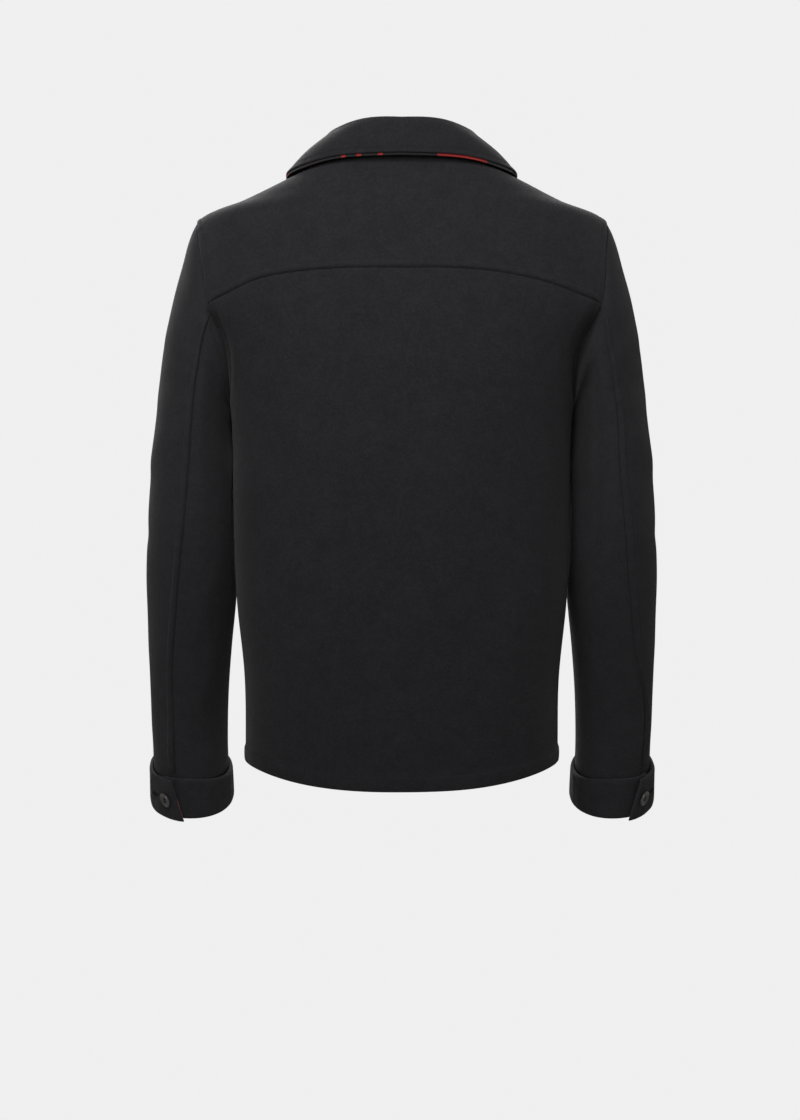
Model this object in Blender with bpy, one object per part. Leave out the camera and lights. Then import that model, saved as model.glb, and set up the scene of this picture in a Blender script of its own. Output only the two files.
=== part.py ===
# Donkey jacket in charcoal melton, worn form with no wearer, buttoned in front.
# Metres. +X is the wearer's left, -Y the front, +Z up.
# The origin is the middle of the neck seam at the back.
# A torso point is given by an angle (0 = left side, 90 degrees = centre back) and a
# level: metres along the cloth from the hem, up the side and over the shoulder.

import math

import bpy
import numpy as np
from mathutils import Matrix, Vector

# Cloth and seams
CLOTH = 0.0022
SEAM_GAP = 0.00035
WELT_WIDTH = 0.0085
WELT_SLOPE = 0.002
WELT_HEIGHT = 0.0010
HEM_HEIGHT = 0.0155
HEM_RAISE = 0.0012
WELT_FADE = 0.03
BODY_ROWS = 9
BACK_COLUMNS = 10
FRONT_COLUMNS = 8

# Levels on the torso
ARMPIT = 0.382
SHOULDER = 0.5875
NECK = 0.7461

# Armhole: an oval in depth and level, stepped in equal turns that all its pieces share
ARMHOLE_MID = (ARMPIT + SHOULDER) / 2
ARMHOLE_HALF = (SHOULDER - ARMPIT) / 2
ARMHOLE_BACK = 0.069
ARMHOLE_FRONT = 0.085
TURN = math.radians(11.25)
ALL_TURNS = 32
YOKE_BACK_TURNS = 7
YOKE_FRONT_TURNS = 2
YOKE_SEAM_STEPS = 18
YOKE_ROWS = 5
YOKE_FRONT_GAP = 0.0045
NECK_CORNER = math.radians(46)

# Centre front
OVERLAP = 0.020
PAST_CENTRE = 0.0005
UNDER_STEP = 0.0028
UNDER_RAMP = (0.0215, 0.036)

# Sleeve, cuff and buttons
FRONT_SEAM_TURNS = 19
TORSO_CLEARANCE = 0.0028
ARM_RADIUS = 0.055
SLEEVE_ROWS = (*range(13), 12.45, 12.53, 12.75)
BLEND_STEPS = 3
CUFF_START = 0.027
CUFF_HEIGHT = 0.0515
CUFF_WALL = 0.0040
CUFF_UNDER_END = 0.0024
CUFF_GAP = 0.0007
CUFF_EASE = 0.0005
CUFF_LAP = math.radians(27)
CUFF_RAMP = math.radians(50)
CUFF_STEPS = 38
CUFF_BUTTON_RADIUS = 0.0088
FRONT_BUTTON_RADIUS = 0.0100
BUTTON_HEIGHT = 0.0030
FRONT_BUTTONS = 5
FRONT_BUTTON_TOP = -0.125
FRONT_BUTTON_PITCH = 0.113

# Collar
STAND_GAP = 0.0013
UNDERCOLLAR = 0.0014
COLLAR_GAP = 0.0004
UNDERCOLLAR_PEEK = 0.0025
COLLAR_HALF_COLUMNS = 20
COLLAR_CROWN = 0.0022
COLLAR_REACHES = (0, 0.16, 0.30, 0.37, 0.42, 0.47, 0.53, 0.65, 0.77, 0.89, 1.0)
UNDERCOLLAR_ROWS = 4


def table(names, rows):
    return dict(zip(names.split(), np.array(rows, float).T))


TORSO = table(
    "level z_side z_back z_front half_width y_side y_back y_front square",
    [
        (0.000, -0.666, -0.690, -0.686, 0.1715, -0.070, 0.044, -0.205, 2.6),
        (0.092, -0.573, -0.591, -0.588, 0.1730, -0.070, 0.044, -0.206, 2.6),
        (0.172, -0.492, -0.505, -0.503, 0.1810, -0.069, 0.046, -0.208, 2.6),
        (0.282, -0.382, -0.388, -0.388, 0.1845, -0.068, 0.049, -0.211, 2.6),
        (0.382, -0.282, -0.282, -0.284, 0.1875, -0.067, 0.052, -0.214, 2.7),
        (0.452, -0.212, -0.207, -0.218, 0.2035, -0.066, 0.052, -0.213, 2.9),
        (0.502, -0.162, -0.153, -0.178, 0.2260, -0.065, 0.048, -0.204, 2.9),
        (0.552, -0.112, -0.104, -0.142, 0.2315, -0.065, 0.037, -0.186, 2.7),
        (0.5875, -0.0785, -0.071, -0.122, 0.2230, -0.065, 0.027, -0.172, 2.4),
        (0.640, -0.0555, -0.041, -0.105, 0.1740, -0.065, 0.0155, -0.160, 2.2),
        (0.695, -0.0310, -0.018, -0.092, 0.1242, -0.065, 0.0065, -0.152, 2.2),
        (0.7461, -0.0090, 0.000, -0.077, 0.0780, -0.065, 0.000, -0.145, 2.1),
    ],
)

# The back yoke seam, by distance from the centre line
YOKE_SEAM = table(
    "x z",
    [
        (0.000, -0.1334),
        (0.060, -0.1337),
        (0.120, -0.1382),
        (0.170, -0.1455),
        (0.200, -0.1560),
        (0.214, -0.1660),
    ],
)

# Sleeve sections down the arm: outer and inner points, depth, and forward tilt in degrees
SLEEVE = table(
    "step out_x out_z in_x in_z y_mid half_back half_front tilt square",
    [
        (0, 0.2230, -0.0785, 0.1875, -0.282, -0.0650, 0.0690, 0.0850, 0, 2.0),
        (1, 0.2300, -0.0920, 0.1897, -0.279, -0.0660, 0.0720, 0.0845, 0, 2.0),
        (2, 0.2388, -0.1190, 0.1925, -0.284, -0.0690, 0.0740, 0.0830, 0, 2.0),
        (3, 0.2498, -0.1610, 0.1930, -0.292, -0.0730, 0.0755, 0.0815, 0, 2.1),
        (4, 0.2602, -0.2150, 0.1900, -0.306, -0.0780, 0.0765, 0.0800, 0, 2.2),
        (5, 0.2685, -0.2750, 0.1850, -0.326, -0.0840, 0.0760, 0.0775, 1, 2.2),
        (6, 0.2755, -0.3350, 0.1800, -0.357, -0.0880, 0.0735, 0.0740, 4, 2.2),
        (7, 0.2805, -0.3920, 0.1790, -0.398, -0.0930, 0.0695, 0.0695, 9, 2.2),
        (8, 0.2835, -0.4400, 0.1810, -0.440, -0.1020, 0.0640, 0.0640, 15, 2.2),
        (9, 0.2850, -0.4930, 0.1850, -0.493, -0.1190, 0.0585, 0.0585, 19, 2.2),
        (10, 0.2852, -0.5480, 0.1915, -0.548, -0.1390, 0.0540, 0.0540, 21, 2.2),
        (11, 0.2835, -0.6020, 0.1965, -0.602, -0.1600, 0.0500, 0.0500, 22, 2.1),
        (12, 0.2845, -0.6560, 0.1990, -0.656, -0.1815, 0.0470, 0.0470, 22, 2.1),
        (13, 0.2850, -0.6980, 0.1990, -0.698, -0.1985, 0.0460, 0.0460, 22, 2.1),
    ],
)

# The back seam of each sleeve, in degrees from the outer line towards the back
SLEEVE_SEAM = {
    "left": table("step angle", [(0, 90), (4, 88), (5, 79), (7, 70), (9, 68), (11, 66), (13, 70)]),
    "right": table("step angle", [(0, 90), (4, 78), (5, 70), (7, 64), (9, 60), (11, 38), (13, 23)]),
}

# The cuff tabs: where they end at the top and at the bottom edge, and their buttons
CUFF_TAB = {
    "left": {"top": 70, "bottom": 84, "button": 62},
    "right": {"top": 56, "bottom": 72, "button": 48},
}

# The cuff's rounded edges: how far down it, and the share of its wall
CUFF_PROFILE = table(
    "down share",
    [(0, 0.45), (0.05, 0.85), (0.17, 1), (0.83, 1), (0.95, 0.85), (1, 0.45)],
)

# The button, from its dished middle over the rim to the back, in shares of radius and height
BUTTON_PROFILE = table("radius height", [(0, 0.62), (0.62, 0.62), (0.8, 1.0), (1.0, 0.6), (0.86, 0)])
BUTTON_SIDES = 16
HOLE_SIDES = 6
HOLE_RADIUS = 0.115
HOLE_PLACE = 0.2

# The collar, by angle round the neck
COLLAR = table(
    "angle stand lean edge_angle edge_level edge_lift",
    [
        (-87, 0.0200, 0.0000, -64, 0.6180, 0.0070),
        (-60, 0.0230, -0.0010, -50, 0.6530, 0.0070),
        (-30, 0.0260, -0.0020, -28, 0.6820, 0.0070),
        (0, 0.0275, -0.0030, 1, 0.6965, 0.0072),
        (30, 0.0285, -0.0030, 32, 0.6990, 0.0080),
        (60, 0.0303, -0.0020, 61, 0.7030, 0.0110),
        (90, 0.0285, -0.0010, 90, 0.7060, 0.0130),
    ],
)

# The stand and roll of the collar: height and lean in shares, less a drop, plus a way out
ROLL = table(
    "reach height drop lean out",
    [
        (0.00, 0.00, 0.0000, 0.0, 0.0000),
        (0.16, 0.45, 0.0000, 0.5, 0.0000),
        (0.32, 1.00, 0.0045, 1.0, 0.0000),
        (0.42, 1.00, 0.0006, 1.0, 0.0050),
        (0.52, 1.00, 0.0055, 1.0, 0.0112),
    ],
)
COLLAR_FALL_REACH = 0.76


def curve(rows, key, name, at):
    # Cubic through the rows, with slopes taken from the neighbours
    stations = rows[key]
    values = rows[name]
    slopes = np.gradient(values, stations)
    at = np.clip(np.asarray(at, float), stations[0], stations[-1])
    index = np.clip(np.searchsorted(stations, at, side="right") - 1, 0, len(stations) - 2)
    width = stations[index + 1] - stations[index]
    t = (at - stations[index]) / width
    start = (1 + 2 * t) * (1 - t) ** 2 * values[index]
    leave = t * (1 - t) ** 2 * width * slopes[index]
    end = t * t * (3 - 2 * t) * values[index + 1]
    arrive = t * t * (t - 1) * width * slopes[index + 1]
    return start + leave + end + arrive


def signed_power(value, power):
    return np.sign(value) * np.abs(value) ** power


def smooth_step(value, low, high):
    t = np.clip((value - low) / (high - low), 0, 1)
    return t * t * (3 - 2 * t)


def unit(vectors):
    return vectors / np.maximum(np.linalg.norm(vectors, axis=-1, keepdims=True), 1e-12)


# Torso surface


def ring(level):
    return {name: curve(TORSO, "level", name, level) for name in TORSO if name != "level"}


def torso(angle, level):
    angle, level = np.broadcast_arrays(np.asarray(angle, float), np.asarray(level, float))
    at = ring(level)
    across = np.cos(angle)
    along = np.sin(angle)
    power = 2 / at["square"]
    back = along > 0
    depth = np.where(back, at["y_back"] - at["y_side"], at["y_side"] - at["y_front"])
    drop = np.where(back, at["z_back"] - at["z_side"], at["z_front"] - at["z_side"])
    x = at["half_width"] * signed_power(across, power)
    y = at["y_side"] + depth * signed_power(along, power)
    z = at["z_side"] + drop * along**2
    return np.stack([x, y, z], axis=-1)


def torso_normal(angle, level):
    turn = 0.02
    rise = 0.003
    round_it = torso(angle + turn, level) - torso(angle - turn, level)
    low = np.maximum(level - rise, 0)
    high = np.minimum(level + rise, NECK)
    up_it = torso(angle, high) - torso(angle, low)
    return unit(np.cross(round_it, up_it))


def angle_for_depth(level, depth):
    # The angle whose point lies this far behind (or, if negative, before) the side line
    at = ring(level)
    reach = np.where(depth > 0, at["y_back"] - at["y_side"], at["y_side"] - at["y_front"])
    share = np.clip(np.abs(depth) / reach, 0, 1) ** (at["square"] / 2)
    return np.sign(depth) * np.arcsin(share)


def front_angle_for_x(level, x):
    at = ring(level)
    share = np.sign(x) * np.clip(np.abs(x) / at["half_width"], 0, 1) ** (at["square"] / 2)
    return -np.arccos(share)


def level_for_height(angle, height):
    low = np.zeros(np.shape(angle))
    high = np.full(np.shape(angle), NECK)
    for _ in range(40):
        middle = (low + high) / 2
        below = torso(angle, middle)[..., 2] < height
        low = np.where(below, middle, low)
        high = np.where(below, high, middle)
    return (low + high) / 2


# Armhole


def armhole(turns, grow):
    # turns count from the shoulder point, positive towards the back
    phi = np.asarray(turns, float) * TURN
    level = ARMHOLE_MID + (ARMHOLE_HALF + grow) * np.cos(phi)
    reach = np.where(np.sin(phi) > 0, ARMHOLE_BACK, ARMHOLE_FRONT) + grow
    return angle_for_depth(level, reach * np.sin(phi)), level


def panel_edge(level, side, inset=0):
    # Angle of a panel's edge: the side seam, then the armhole. side is 1 behind, -1 before
    half = ARMHOLE_HALF + SEAM_GAP / 2 + inset
    reach = (ARMHOLE_BACK if side > 0 else ARMHOLE_FRONT) + SEAM_GAP / 2 + inset
    share = np.clip((level - ARMHOLE_MID) / half, -1, 1)
    depth = np.maximum(reach * np.sqrt(1 - share**2), SEAM_GAP / 2)
    return angle_for_depth(level, side * depth)


def armhole_turns(top):
    # Steps up the armhole from just above the armpit, where the edge turns fastest
    return np.array([15.5, *range(15, top - 1, -1)])


def body_levels():
    # Rows from the hem to the armpit: the hem band, then even steps
    rest = np.linspace(HEM_HEIGHT + WELT_SLOPE, ARMPIT - SEAM_GAP / 2, BODY_ROWS)
    return np.concatenate([[0, HEM_HEIGHT], rest])


def hem_raise(levels):
    return HEM_RAISE * (levels <= HEM_HEIGHT + 1e-6)


# Mesh building


def material(name, colour, roughness, metallic=0.0):
    made = bpy.data.materials.new(name)
    made.use_nodes = True
    shader = made.node_tree.nodes["Principled BSDF"]
    shader.inputs["Base Color"].default_value = (*colour, 1)
    shader.inputs["Roughness"].default_value = roughness
    shader.inputs["Metallic"].default_value = metallic
    return made


def melton(name):
    return material(name + " melton", (0.026, 0.027, 0.029), 0.95)


def checked_wool(name):
    return material(name + " checked wool", (0.20, 0.012, 0.010), 0.95)


def horn(name):
    return material(name + " horn", (0.055, 0.050, 0.047), 0.45)


def wall(name, face, normal, thickness, raised, made):
    # A grid of face points becomes one closed wall, thickness inward and raised outward
    rows, cols = face.shape[:2]
    thickness = np.broadcast_to(thickness, (rows, cols))[..., None]
    raised = np.broadcast_to(raised, (rows, cols))[..., None]
    outer = face + normal * raised
    inner = face - normal * thickness
    points = np.concatenate([outer.reshape(-1, 3), inner.reshape(-1, 3)])
    number = np.arange(rows * cols).reshape(rows, cols)
    under = number + rows * cols
    near = np.stack([number[:-1, :-1], number[:-1, 1:], number[1:, 1:]], axis=-1)
    far = np.stack([number[:-1, :-1], number[1:, 1:], number[1:, :-1]], axis=-1)
    lid = np.concatenate([near.reshape(-1, 3), far.reshape(-1, 3)])
    faces = [lid, lid[:, ::-1] + rows * cols]
    for edge, below in (
        (number[0], under[0]),
        (number[-1, ::-1], under[-1, ::-1]),
        (number[::-1, 0], under[::-1, 0]),
        (number[:, -1], under[:, -1]),
    ):
        faces.append(np.stack([edge[1:], edge[:-1], below[1:]], axis=-1))
        faces.append(np.stack([edge[:-1], below[:-1], below[1:]], axis=-1))
    faces = np.concatenate(faces)
    middle = (rows // 2, cols // 2)
    along = face[middle[0], middle[1]] - face[middle[0], middle[1] - 1]
    up = face[middle[0], middle[1]] - face[middle[0] - 1, middle[1]]
    if np.dot(np.cross(along, up), normal[middle]) < 0:
        faces = faces[:, ::-1]
    mesh = bpy.data.meshes.new(name)
    mesh.from_pydata(points.tolist(), [], faces.tolist())
    mesh.shade_smooth()
    mesh.set_sharp_from_angle(angle=math.radians(50))
    mesh.materials.append(made)
    made_object = bpy.data.objects.new(name, mesh)
    bpy.context.collection.objects.link(made_object)
    return made_object


def mirrored(points, side):
    return points * np.array([1 if side == "left" else -1, 1, 1])


# Body panels


def yoke_edge(inset):
    # The yoke's outer edge, moved inward: from the left front corner, up the armhole, along
    # the back seam and round to the right front corner
    grow = SEAM_GAP / 2 + inset
    turns = np.arange(-YOKE_FRONT_TURNS, YOKE_BACK_TURNS + 1)
    left, left_level = armhole(turns, grow)
    left[0], left_level[0] = armhole(-YOKE_FRONT_TURNS, SEAM_GAP / 2)
    left_level[0] = left_level[0] + inset
    corner = left[-1:]
    for _ in range(6):
        corner_level = seam_level(corner) + SEAM_GAP / 2 + inset
        corner = panel_edge(corner_level, 1, inset)
    if inset > 0:
        left[-1] = corner[0]
        left_level[-1] = corner_level[0]
    back = np.linspace(left[-1], math.pi - left[-1], YOKE_SEAM_STEPS + 1)[1:-1]
    angle = np.concatenate([left, back, math.pi - left[::-1]])
    seam = seam_level(back) + SEAM_GAP / 2 + inset
    return angle, np.concatenate([left_level, seam, left_level[::-1]])


def yoke_neck(corner):
    # The neckline angles that the yoke's columns run to
    left = np.linspace(corner, NECK_CORNER, YOKE_FRONT_TURNS + YOKE_BACK_TURNS + 1)
    back = np.linspace(NECK_CORNER, math.pi - NECK_CORNER, YOKE_SEAM_STEPS + 1)[1:-1]
    return np.concatenate([left, back, math.pi - left[::-1]])


def yoke_rest():
    return np.linspace(0, 1, YOKE_ROWS + 1)[1:]


def seam_level(angle):
    # Level of the back yoke seam at an angle, found from its height table
    level = np.full(np.shape(angle), 0.53)
    for _ in range(12):
        x = np.abs(torso(angle, level)[..., 0])
        level = level_for_height(angle, curve(YOKE_SEAM, "x", "z", x))
    return level


def build_yoke():
    edges = [yoke_edge(inset) for inset in (0, WELT_WIDTH, WELT_WIDTH + WELT_SLOPE)]
    angle = [edge[0] for edge in edges]
    level = [edge[1] for edge in edges]
    neck = yoke_neck(angle[0][0])
    for share in yoke_rest():
        angle.append(angle[2] + (neck - angle[2]) * share)
        level.append(level[2] + (NECK - level[2]) * share)
    angle = np.stack(angle)
    level = np.stack(level)
    raised = np.zeros(level.shape)
    raised[:2] = WELT_HEIGHT
    raised[:2, [0, -1]] = 0
    face = torso(angle, level)
    wall("yoke", face, torso_normal(angle, level), CLOTH, raised, melton("yoke"))


def welt_columns(edge, far, level, count, side):
    # Column angles of a panel from its seam edge: the welt, then even steps to far
    depth = torso(edge, level)[..., 1] - ring(level)["y_side"]
    on = angle_for_depth(level, depth + side * WELT_WIDTH)
    off = angle_for_depth(level, depth + side * (WELT_WIDTH + WELT_SLOPE))
    rest = off[:, None] + (far - off)[:, None] * np.linspace(0, 1, count)[None, :]
    return np.concatenate([edge[:, None], on[:, None], rest], axis=1)


def build_back():
    arm_level = armhole(armhole_turns(YOKE_BACK_TURNS), SEAM_GAP / 2)[1]
    level = np.concatenate([body_levels(), arm_level])
    edge = panel_edge(level, 1)
    middle = np.full(level.shape, math.pi / 2)
    half = welt_columns(edge, middle, level, BACK_COLUMNS, 1)
    angle = np.concatenate([half, math.pi - half[:, -2::-1]], axis=1)
    top = seam_level(angle[-1]) - SEAM_GAP / 2
    above = np.maximum(level - ARMPIT, 0)[:, None]
    grid = np.minimum(level, ARMPIT)[:, None] + above * ((top - ARMPIT) / (level[-1] - ARMPIT))
    grid = np.where(above > 0, grid, level[:, None])
    in_armhole = smooth_step(level, ARMPIT, ARMPIT + WELT_FADE)
    raised = np.zeros(grid.shape)
    for column in (0, 1, -2, -1):
        raised[:, column] = WELT_HEIGHT * in_armhole
    raised = np.maximum(raised, hem_raise(level)[:, None])
    face = torso(angle, grid)
    wall("back", face, torso_normal(angle, grid), CLOTH, raised, melton("back"))


def build_front(side):
    arm_level = armhole(-armhole_turns(YOKE_FRONT_TURNS), SEAM_GAP / 2)[1]
    corner = arm_level[-1]
    welt = corner + np.array([WELT_WIDTH, WELT_WIDTH + WELT_SLOPE])
    above = np.concatenate([welt, welt[1] + (NECK - welt[1]) * yoke_rest()])
    level = np.concatenate([body_levels(), arm_level, above])
    seam_angle = armhole(-YOKE_FRONT_TURNS, SEAM_GAP / 2)[0] - YOKE_FRONT_GAP
    edge = np.where(level > corner - 1e-6, seam_angle, panel_edge(level, -1))
    ramp_far = front_angle_for_x(level, UNDER_RAMP[1])
    body = welt_columns(edge, ramp_far, level, FRONT_COLUMNS, -1)
    flap = [front_angle_for_x(level, x) for x in (UNDER_RAMP[0], PAST_CENTRE, -OVERLAP)]
    angle = np.concatenate([body, np.stack(flap, axis=1)], axis=1)
    grid = np.broadcast_to(level[:, None], angle.shape)
    face = torso(angle, grid)
    normal = torso_normal(angle, grid)
    in_armhole = smooth_step(level, ARMPIT, ARMPIT + WELT_FADE)
    in_armhole = in_armhole * (level < corner + 1e-6)
    raised = np.zeros(grid.shape)
    raised[:, :2] = (WELT_HEIGHT * in_armhole)[:, None]
    hem = hem_raise(level)[:, None]
    if side == "right":
        sunk = 1 - smooth_step(face[..., 0], *UNDER_RAMP)
        hem = hem * (1 - sunk)
        face = face - normal * (UNDER_STEP * sunk)[..., None]
    raised = np.maximum(raised, hem)
    name = "front_" + side
    wall(name, mirrored(face, side), mirrored(normal, side), CLOTH, raised, melton(name))


# Sleeves


def torso_side_x(y, z):
    # Half width of the torso at a depth and height, below the armpit
    level = np.clip(z - TORSO["z_side"][0], 0, ARMPIT)
    at = ring(level)
    reach = np.where(y > at["y_side"], at["y_back"] - at["y_side"], at["y_side"] - at["y_front"])
    share = np.clip(np.abs(y - at["y_side"]) / reach, 0, 1)
    return at["half_width"] * (1 - share ** at["square"]) ** (1 / at["square"])


def section(angle, step):
    at = {name: curve(SLEEVE, "step", name, step) for name in SLEEVE if name != "step"}
    power = 2 / at["square"]
    out = (1 + signed_power(np.cos(angle), power)) / 2
    half = np.where(np.sin(angle) > 0, at["half_back"], at["half_front"])
    depth = half * signed_power(np.sin(angle), power)
    tilt = np.radians(at["tilt"])
    x = at["in_x"] + (at["out_x"] - at["in_x"]) * out
    y = at["y_mid"] + depth * np.cos(tilt)
    z = at["in_z"] + (at["out_z"] - at["in_z"]) * out - depth * np.sin(tilt)
    return np.stack([x, y, z], axis=-1)


def sleeve(angle, step):
    # The section, drawn to the armhole at its top and kept clear of the torso
    angle, step = np.broadcast_arrays(np.asarray(angle, float), np.asarray(step, float))
    points = section(angle, step)
    around = (angle + math.pi) % (2 * math.pi) - math.pi
    loop = torso(*armhole(around / TURN, -SEAM_GAP / 2))
    fade = np.clip(1 - step / BLEND_STEPS, 0, 1)[..., None] ** 2
    points = points + (loop - section(angle, np.zeros_like(step))) * fade
    clear = TORSO_CLEARANCE * np.clip(step, 0, 1)
    low = points[..., 2] < TORSO["z_side"][4] + 0.004
    least = torso_side_x(points[..., 1], points[..., 2]) + clear
    pushed = np.where(low & (step > 0.5), np.maximum(points[..., 0], least), points[..., 0])
    points[..., 0] = pushed
    return points


def sleeve_normal(angle, step):
    turn = 0.03
    rise = 0.1
    round_it = sleeve(angle + turn, step) - sleeve(angle - turn, step)
    down_it = sleeve(angle, np.minimum(step + rise, 13)) - sleeve(angle, np.maximum(step - rise, 0))
    made = unit(np.cross(down_it, round_it))
    around = (angle + math.pi) % (2 * math.pi) - math.pi
    seam = torso_normal(*armhole(around / TURN, -SEAM_GAP / 2))
    leaving = (unit(down_it) * seam).sum(axis=-1)
    mitre = np.clip(1 - step / 0.6, 0, 1) * (1 - smooth_step(leaving, -0.15, 0.15))
    mitre = mitre[..., None]
    return unit(made * (1 - mitre) + seam * mitre)


def build_sleeve(side):
    steps = np.array(SLEEVE_ROWS)
    seam = np.radians(curve(SLEEVE_SEAM[side], "step", "angle", steps))
    front_seam = np.full(steps.shape, FRONT_SEAM_TURNS * TURN)
    half_gap = SEAM_GAP / 2 / ARM_RADIUS
    seam_turns = round(seam[0] / TURN)
    top_count = seam_turns + ALL_TURNS - FRONT_SEAM_TURNS
    under_count = FRONT_SEAM_TURNS - seam_turns
    start = front_seam - 2 * math.pi + half_gap
    top = start[:, None] + (seam - half_gap - start)[:, None] * np.linspace(0, 1, top_count + 1)
    top[1:, -2] = (seam - half_gap - WELT_WIDTH / ARM_RADIUS)[1:]
    end = front_seam - half_gap
    first = seam + half_gap
    under = first[:, None] + (end - first)[:, None] * np.linspace(0, 1, under_count + 1)
    for name, angle in (("top", top), ("under", under)):
        grid = np.broadcast_to(steps[:, None], angle.shape)
        raised = np.zeros(grid.shape)
        if name == "top":
            raised[1:-2, -2:] = WELT_HEIGHT
        node = "sleeve_" + side + "_" + name
        face = mirrored(sleeve(angle, grid), side)
        normal = mirrored(sleeve_normal(angle, grid), side)
        wall(node, face, normal, CLOTH, raised, melton(node))


# Cuffs


def arm_end():
    # Centre, forward tilt and section of the sleeve where the cuff begins
    at = {name: SLEEVE[name][-2] for name in SLEEVE}
    last = {name: SLEEVE[name][-1] for name in SLEEVE}
    tilt = math.radians(last["tilt"])
    centre = np.array([(last["in_x"] + last["out_x"]) / 2, at["y_mid"], at["in_z"]])
    half = np.array([(last["out_x"] - last["in_x"]) / 2, last["half_back"] + CUFF_EASE])
    return centre, tilt, half


def cuff(angle, along, outward):
    # A point at an angle round the wrist, a distance down the arm, and outward of the sleeve
    centre, tilt, half = arm_end()
    power = 2 / SLEEVE["square"][-1]
    side = half[0] * signed_power(np.cos(angle), power) + np.cos(angle) * outward
    depth = half[1] * signed_power(np.sin(angle), power) + np.sin(angle) * outward
    across = np.array([1, 0, 0])
    back = np.array([0, math.cos(tilt), -math.sin(tilt)])
    down = np.array([0, -math.sin(tilt), -math.cos(tilt)])
    return centre + side[..., None] * across + depth[..., None] * back + along[..., None] * down


def build_cuff(side):
    tab = CUFF_TAB[side]
    down = CUFF_START + CUFF_HEIGHT * CUFF_PROFILE["down"]
    slant = np.radians(tab["top"] + (tab["bottom"] - tab["top"]) * CUFF_PROFILE["down"])
    tab_end = math.radians((tab["top"] + tab["bottom"]) / 2)
    share = np.linspace(0, 1, CUFF_STEPS + 1)
    turned = (2 * math.pi + CUFF_LAP) * share
    near_end = np.clip((share - 1) * CUFF_STEPS / 3 + 1, 0, 1)
    turned = turned + (slant - tab_end)[:, None] * near_end
    angle = turned + tab_end - CUFF_LAP
    lap_from = 2 * math.pi
    lifted = smooth_step(turned, lap_from - CUFF_RAMP, lap_from - math.radians(4))
    thin = 1 - smooth_step(turned, CUFF_LAP * 1.3, CUFF_LAP * 1.3 + CUFF_RAMP)
    full = CUFF_WALL - (CUFF_WALL - CUFF_UNDER_END) * thin
    base = CUFF_GAP + lifted * (CUFF_UNDER_END + CUFF_GAP)
    along = np.broadcast_to(down[:, None], angle.shape)
    inner = cuff(angle, along, base)
    outer = cuff(angle, along, base + full * CUFF_PROFILE["share"][:, None])
    normal = unit(outer - inner)
    thickness = np.linalg.norm(outer - inner, axis=-1)
    name = "cuff_" + side
    wall(name, mirrored(outer, side), mirrored(normal, side), thickness, 0, melton(name))


# Collar


def collar_path(position, reach):
    # position is the angle round the neck, reach runs 0 at the neck seam to 1 at the edge
    at = {name: curve(COLLAR, "angle", name, np.degrees(position)) for name in COLLAR}
    neck = torso(position, np.full(position.shape, NECK))
    out = torso_normal(position, np.full(position.shape, NECK - 0.002))
    out[..., 2] = 0
    out = unit(out)
    up = np.array([0, 0, 1.0])
    seam = neck - out * CLOTH + up * STAND_GAP
    edge_angle = np.radians(at["edge_angle"])
    edge = torso(edge_angle, at["edge_level"])
    edge = edge + torso_normal(edge_angle, at["edge_level"]) * at["edge_lift"][..., None]
    points = []
    for height, drop, lean, way in zip(ROLL["height"], ROLL["drop"], ROLL["lean"], ROLL["out"]):
        rise = at["stand"][..., None] * height - drop
        points.append(seam + up * rise + out * (at["lean"][..., None] * lean + way))
    points.append((points[-1] + edge) / 2 + unit(out * 0.5 + up * 0.85) * COLLAR_CROWN)
    points = np.stack([*points, edge])
    knots = np.array([*ROLL["reach"], COLLAR_FALL_REACH, 1])
    slopes = np.gradient(points, knots, axis=0)
    index = int(np.clip(np.searchsorted(knots, reach, side="right") - 1, 0, len(knots) - 2))
    width = knots[index + 1] - knots[index]
    t = (reach - knots[index]) / width
    made = (1 + 2 * t) * (1 - t) ** 2 * points[index]
    made = made + t * (1 - t) ** 2 * width * slopes[index]
    made = made + t * t * (3 - 2 * t) * points[index + 1]
    return made + t * t * (t - 1) * width * slopes[index + 1]


def collar_grid():
    position = np.radians(np.linspace(COLLAR["angle"][0], COLLAR["angle"][-1], COLLAR_HALF_COLUMNS))
    half = np.stack([collar_path(position, reach) for reach in COLLAR_REACHES])
    other = half[:, -2::-1] * np.array([-1, 1, 1])
    return np.concatenate([half, other], axis=1)


def grid_normal(grid):
    along = np.gradient(grid, axis=1)
    across = np.gradient(grid, axis=0)
    return unit(np.cross(along, across))


def build_collar():
    grid = collar_grid()
    normal = -grid_normal(grid)
    wall("collar", grid, normal, CLOTH, 0, melton("collar"))
    out = normal[-UNDERCOLLAR_ROWS:]
    face = grid[-UNDERCOLLAR_ROWS:] - out * (CLOTH + COLLAR_GAP)
    face[-1] = face[-1] + unit(face[-1] - face[-2]) * UNDERCOLLAR_PEEK
    wall("undercollar", face, out, UNDERCOLLAR, 0, checked_wool("undercollar"))


# Buttons


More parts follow.
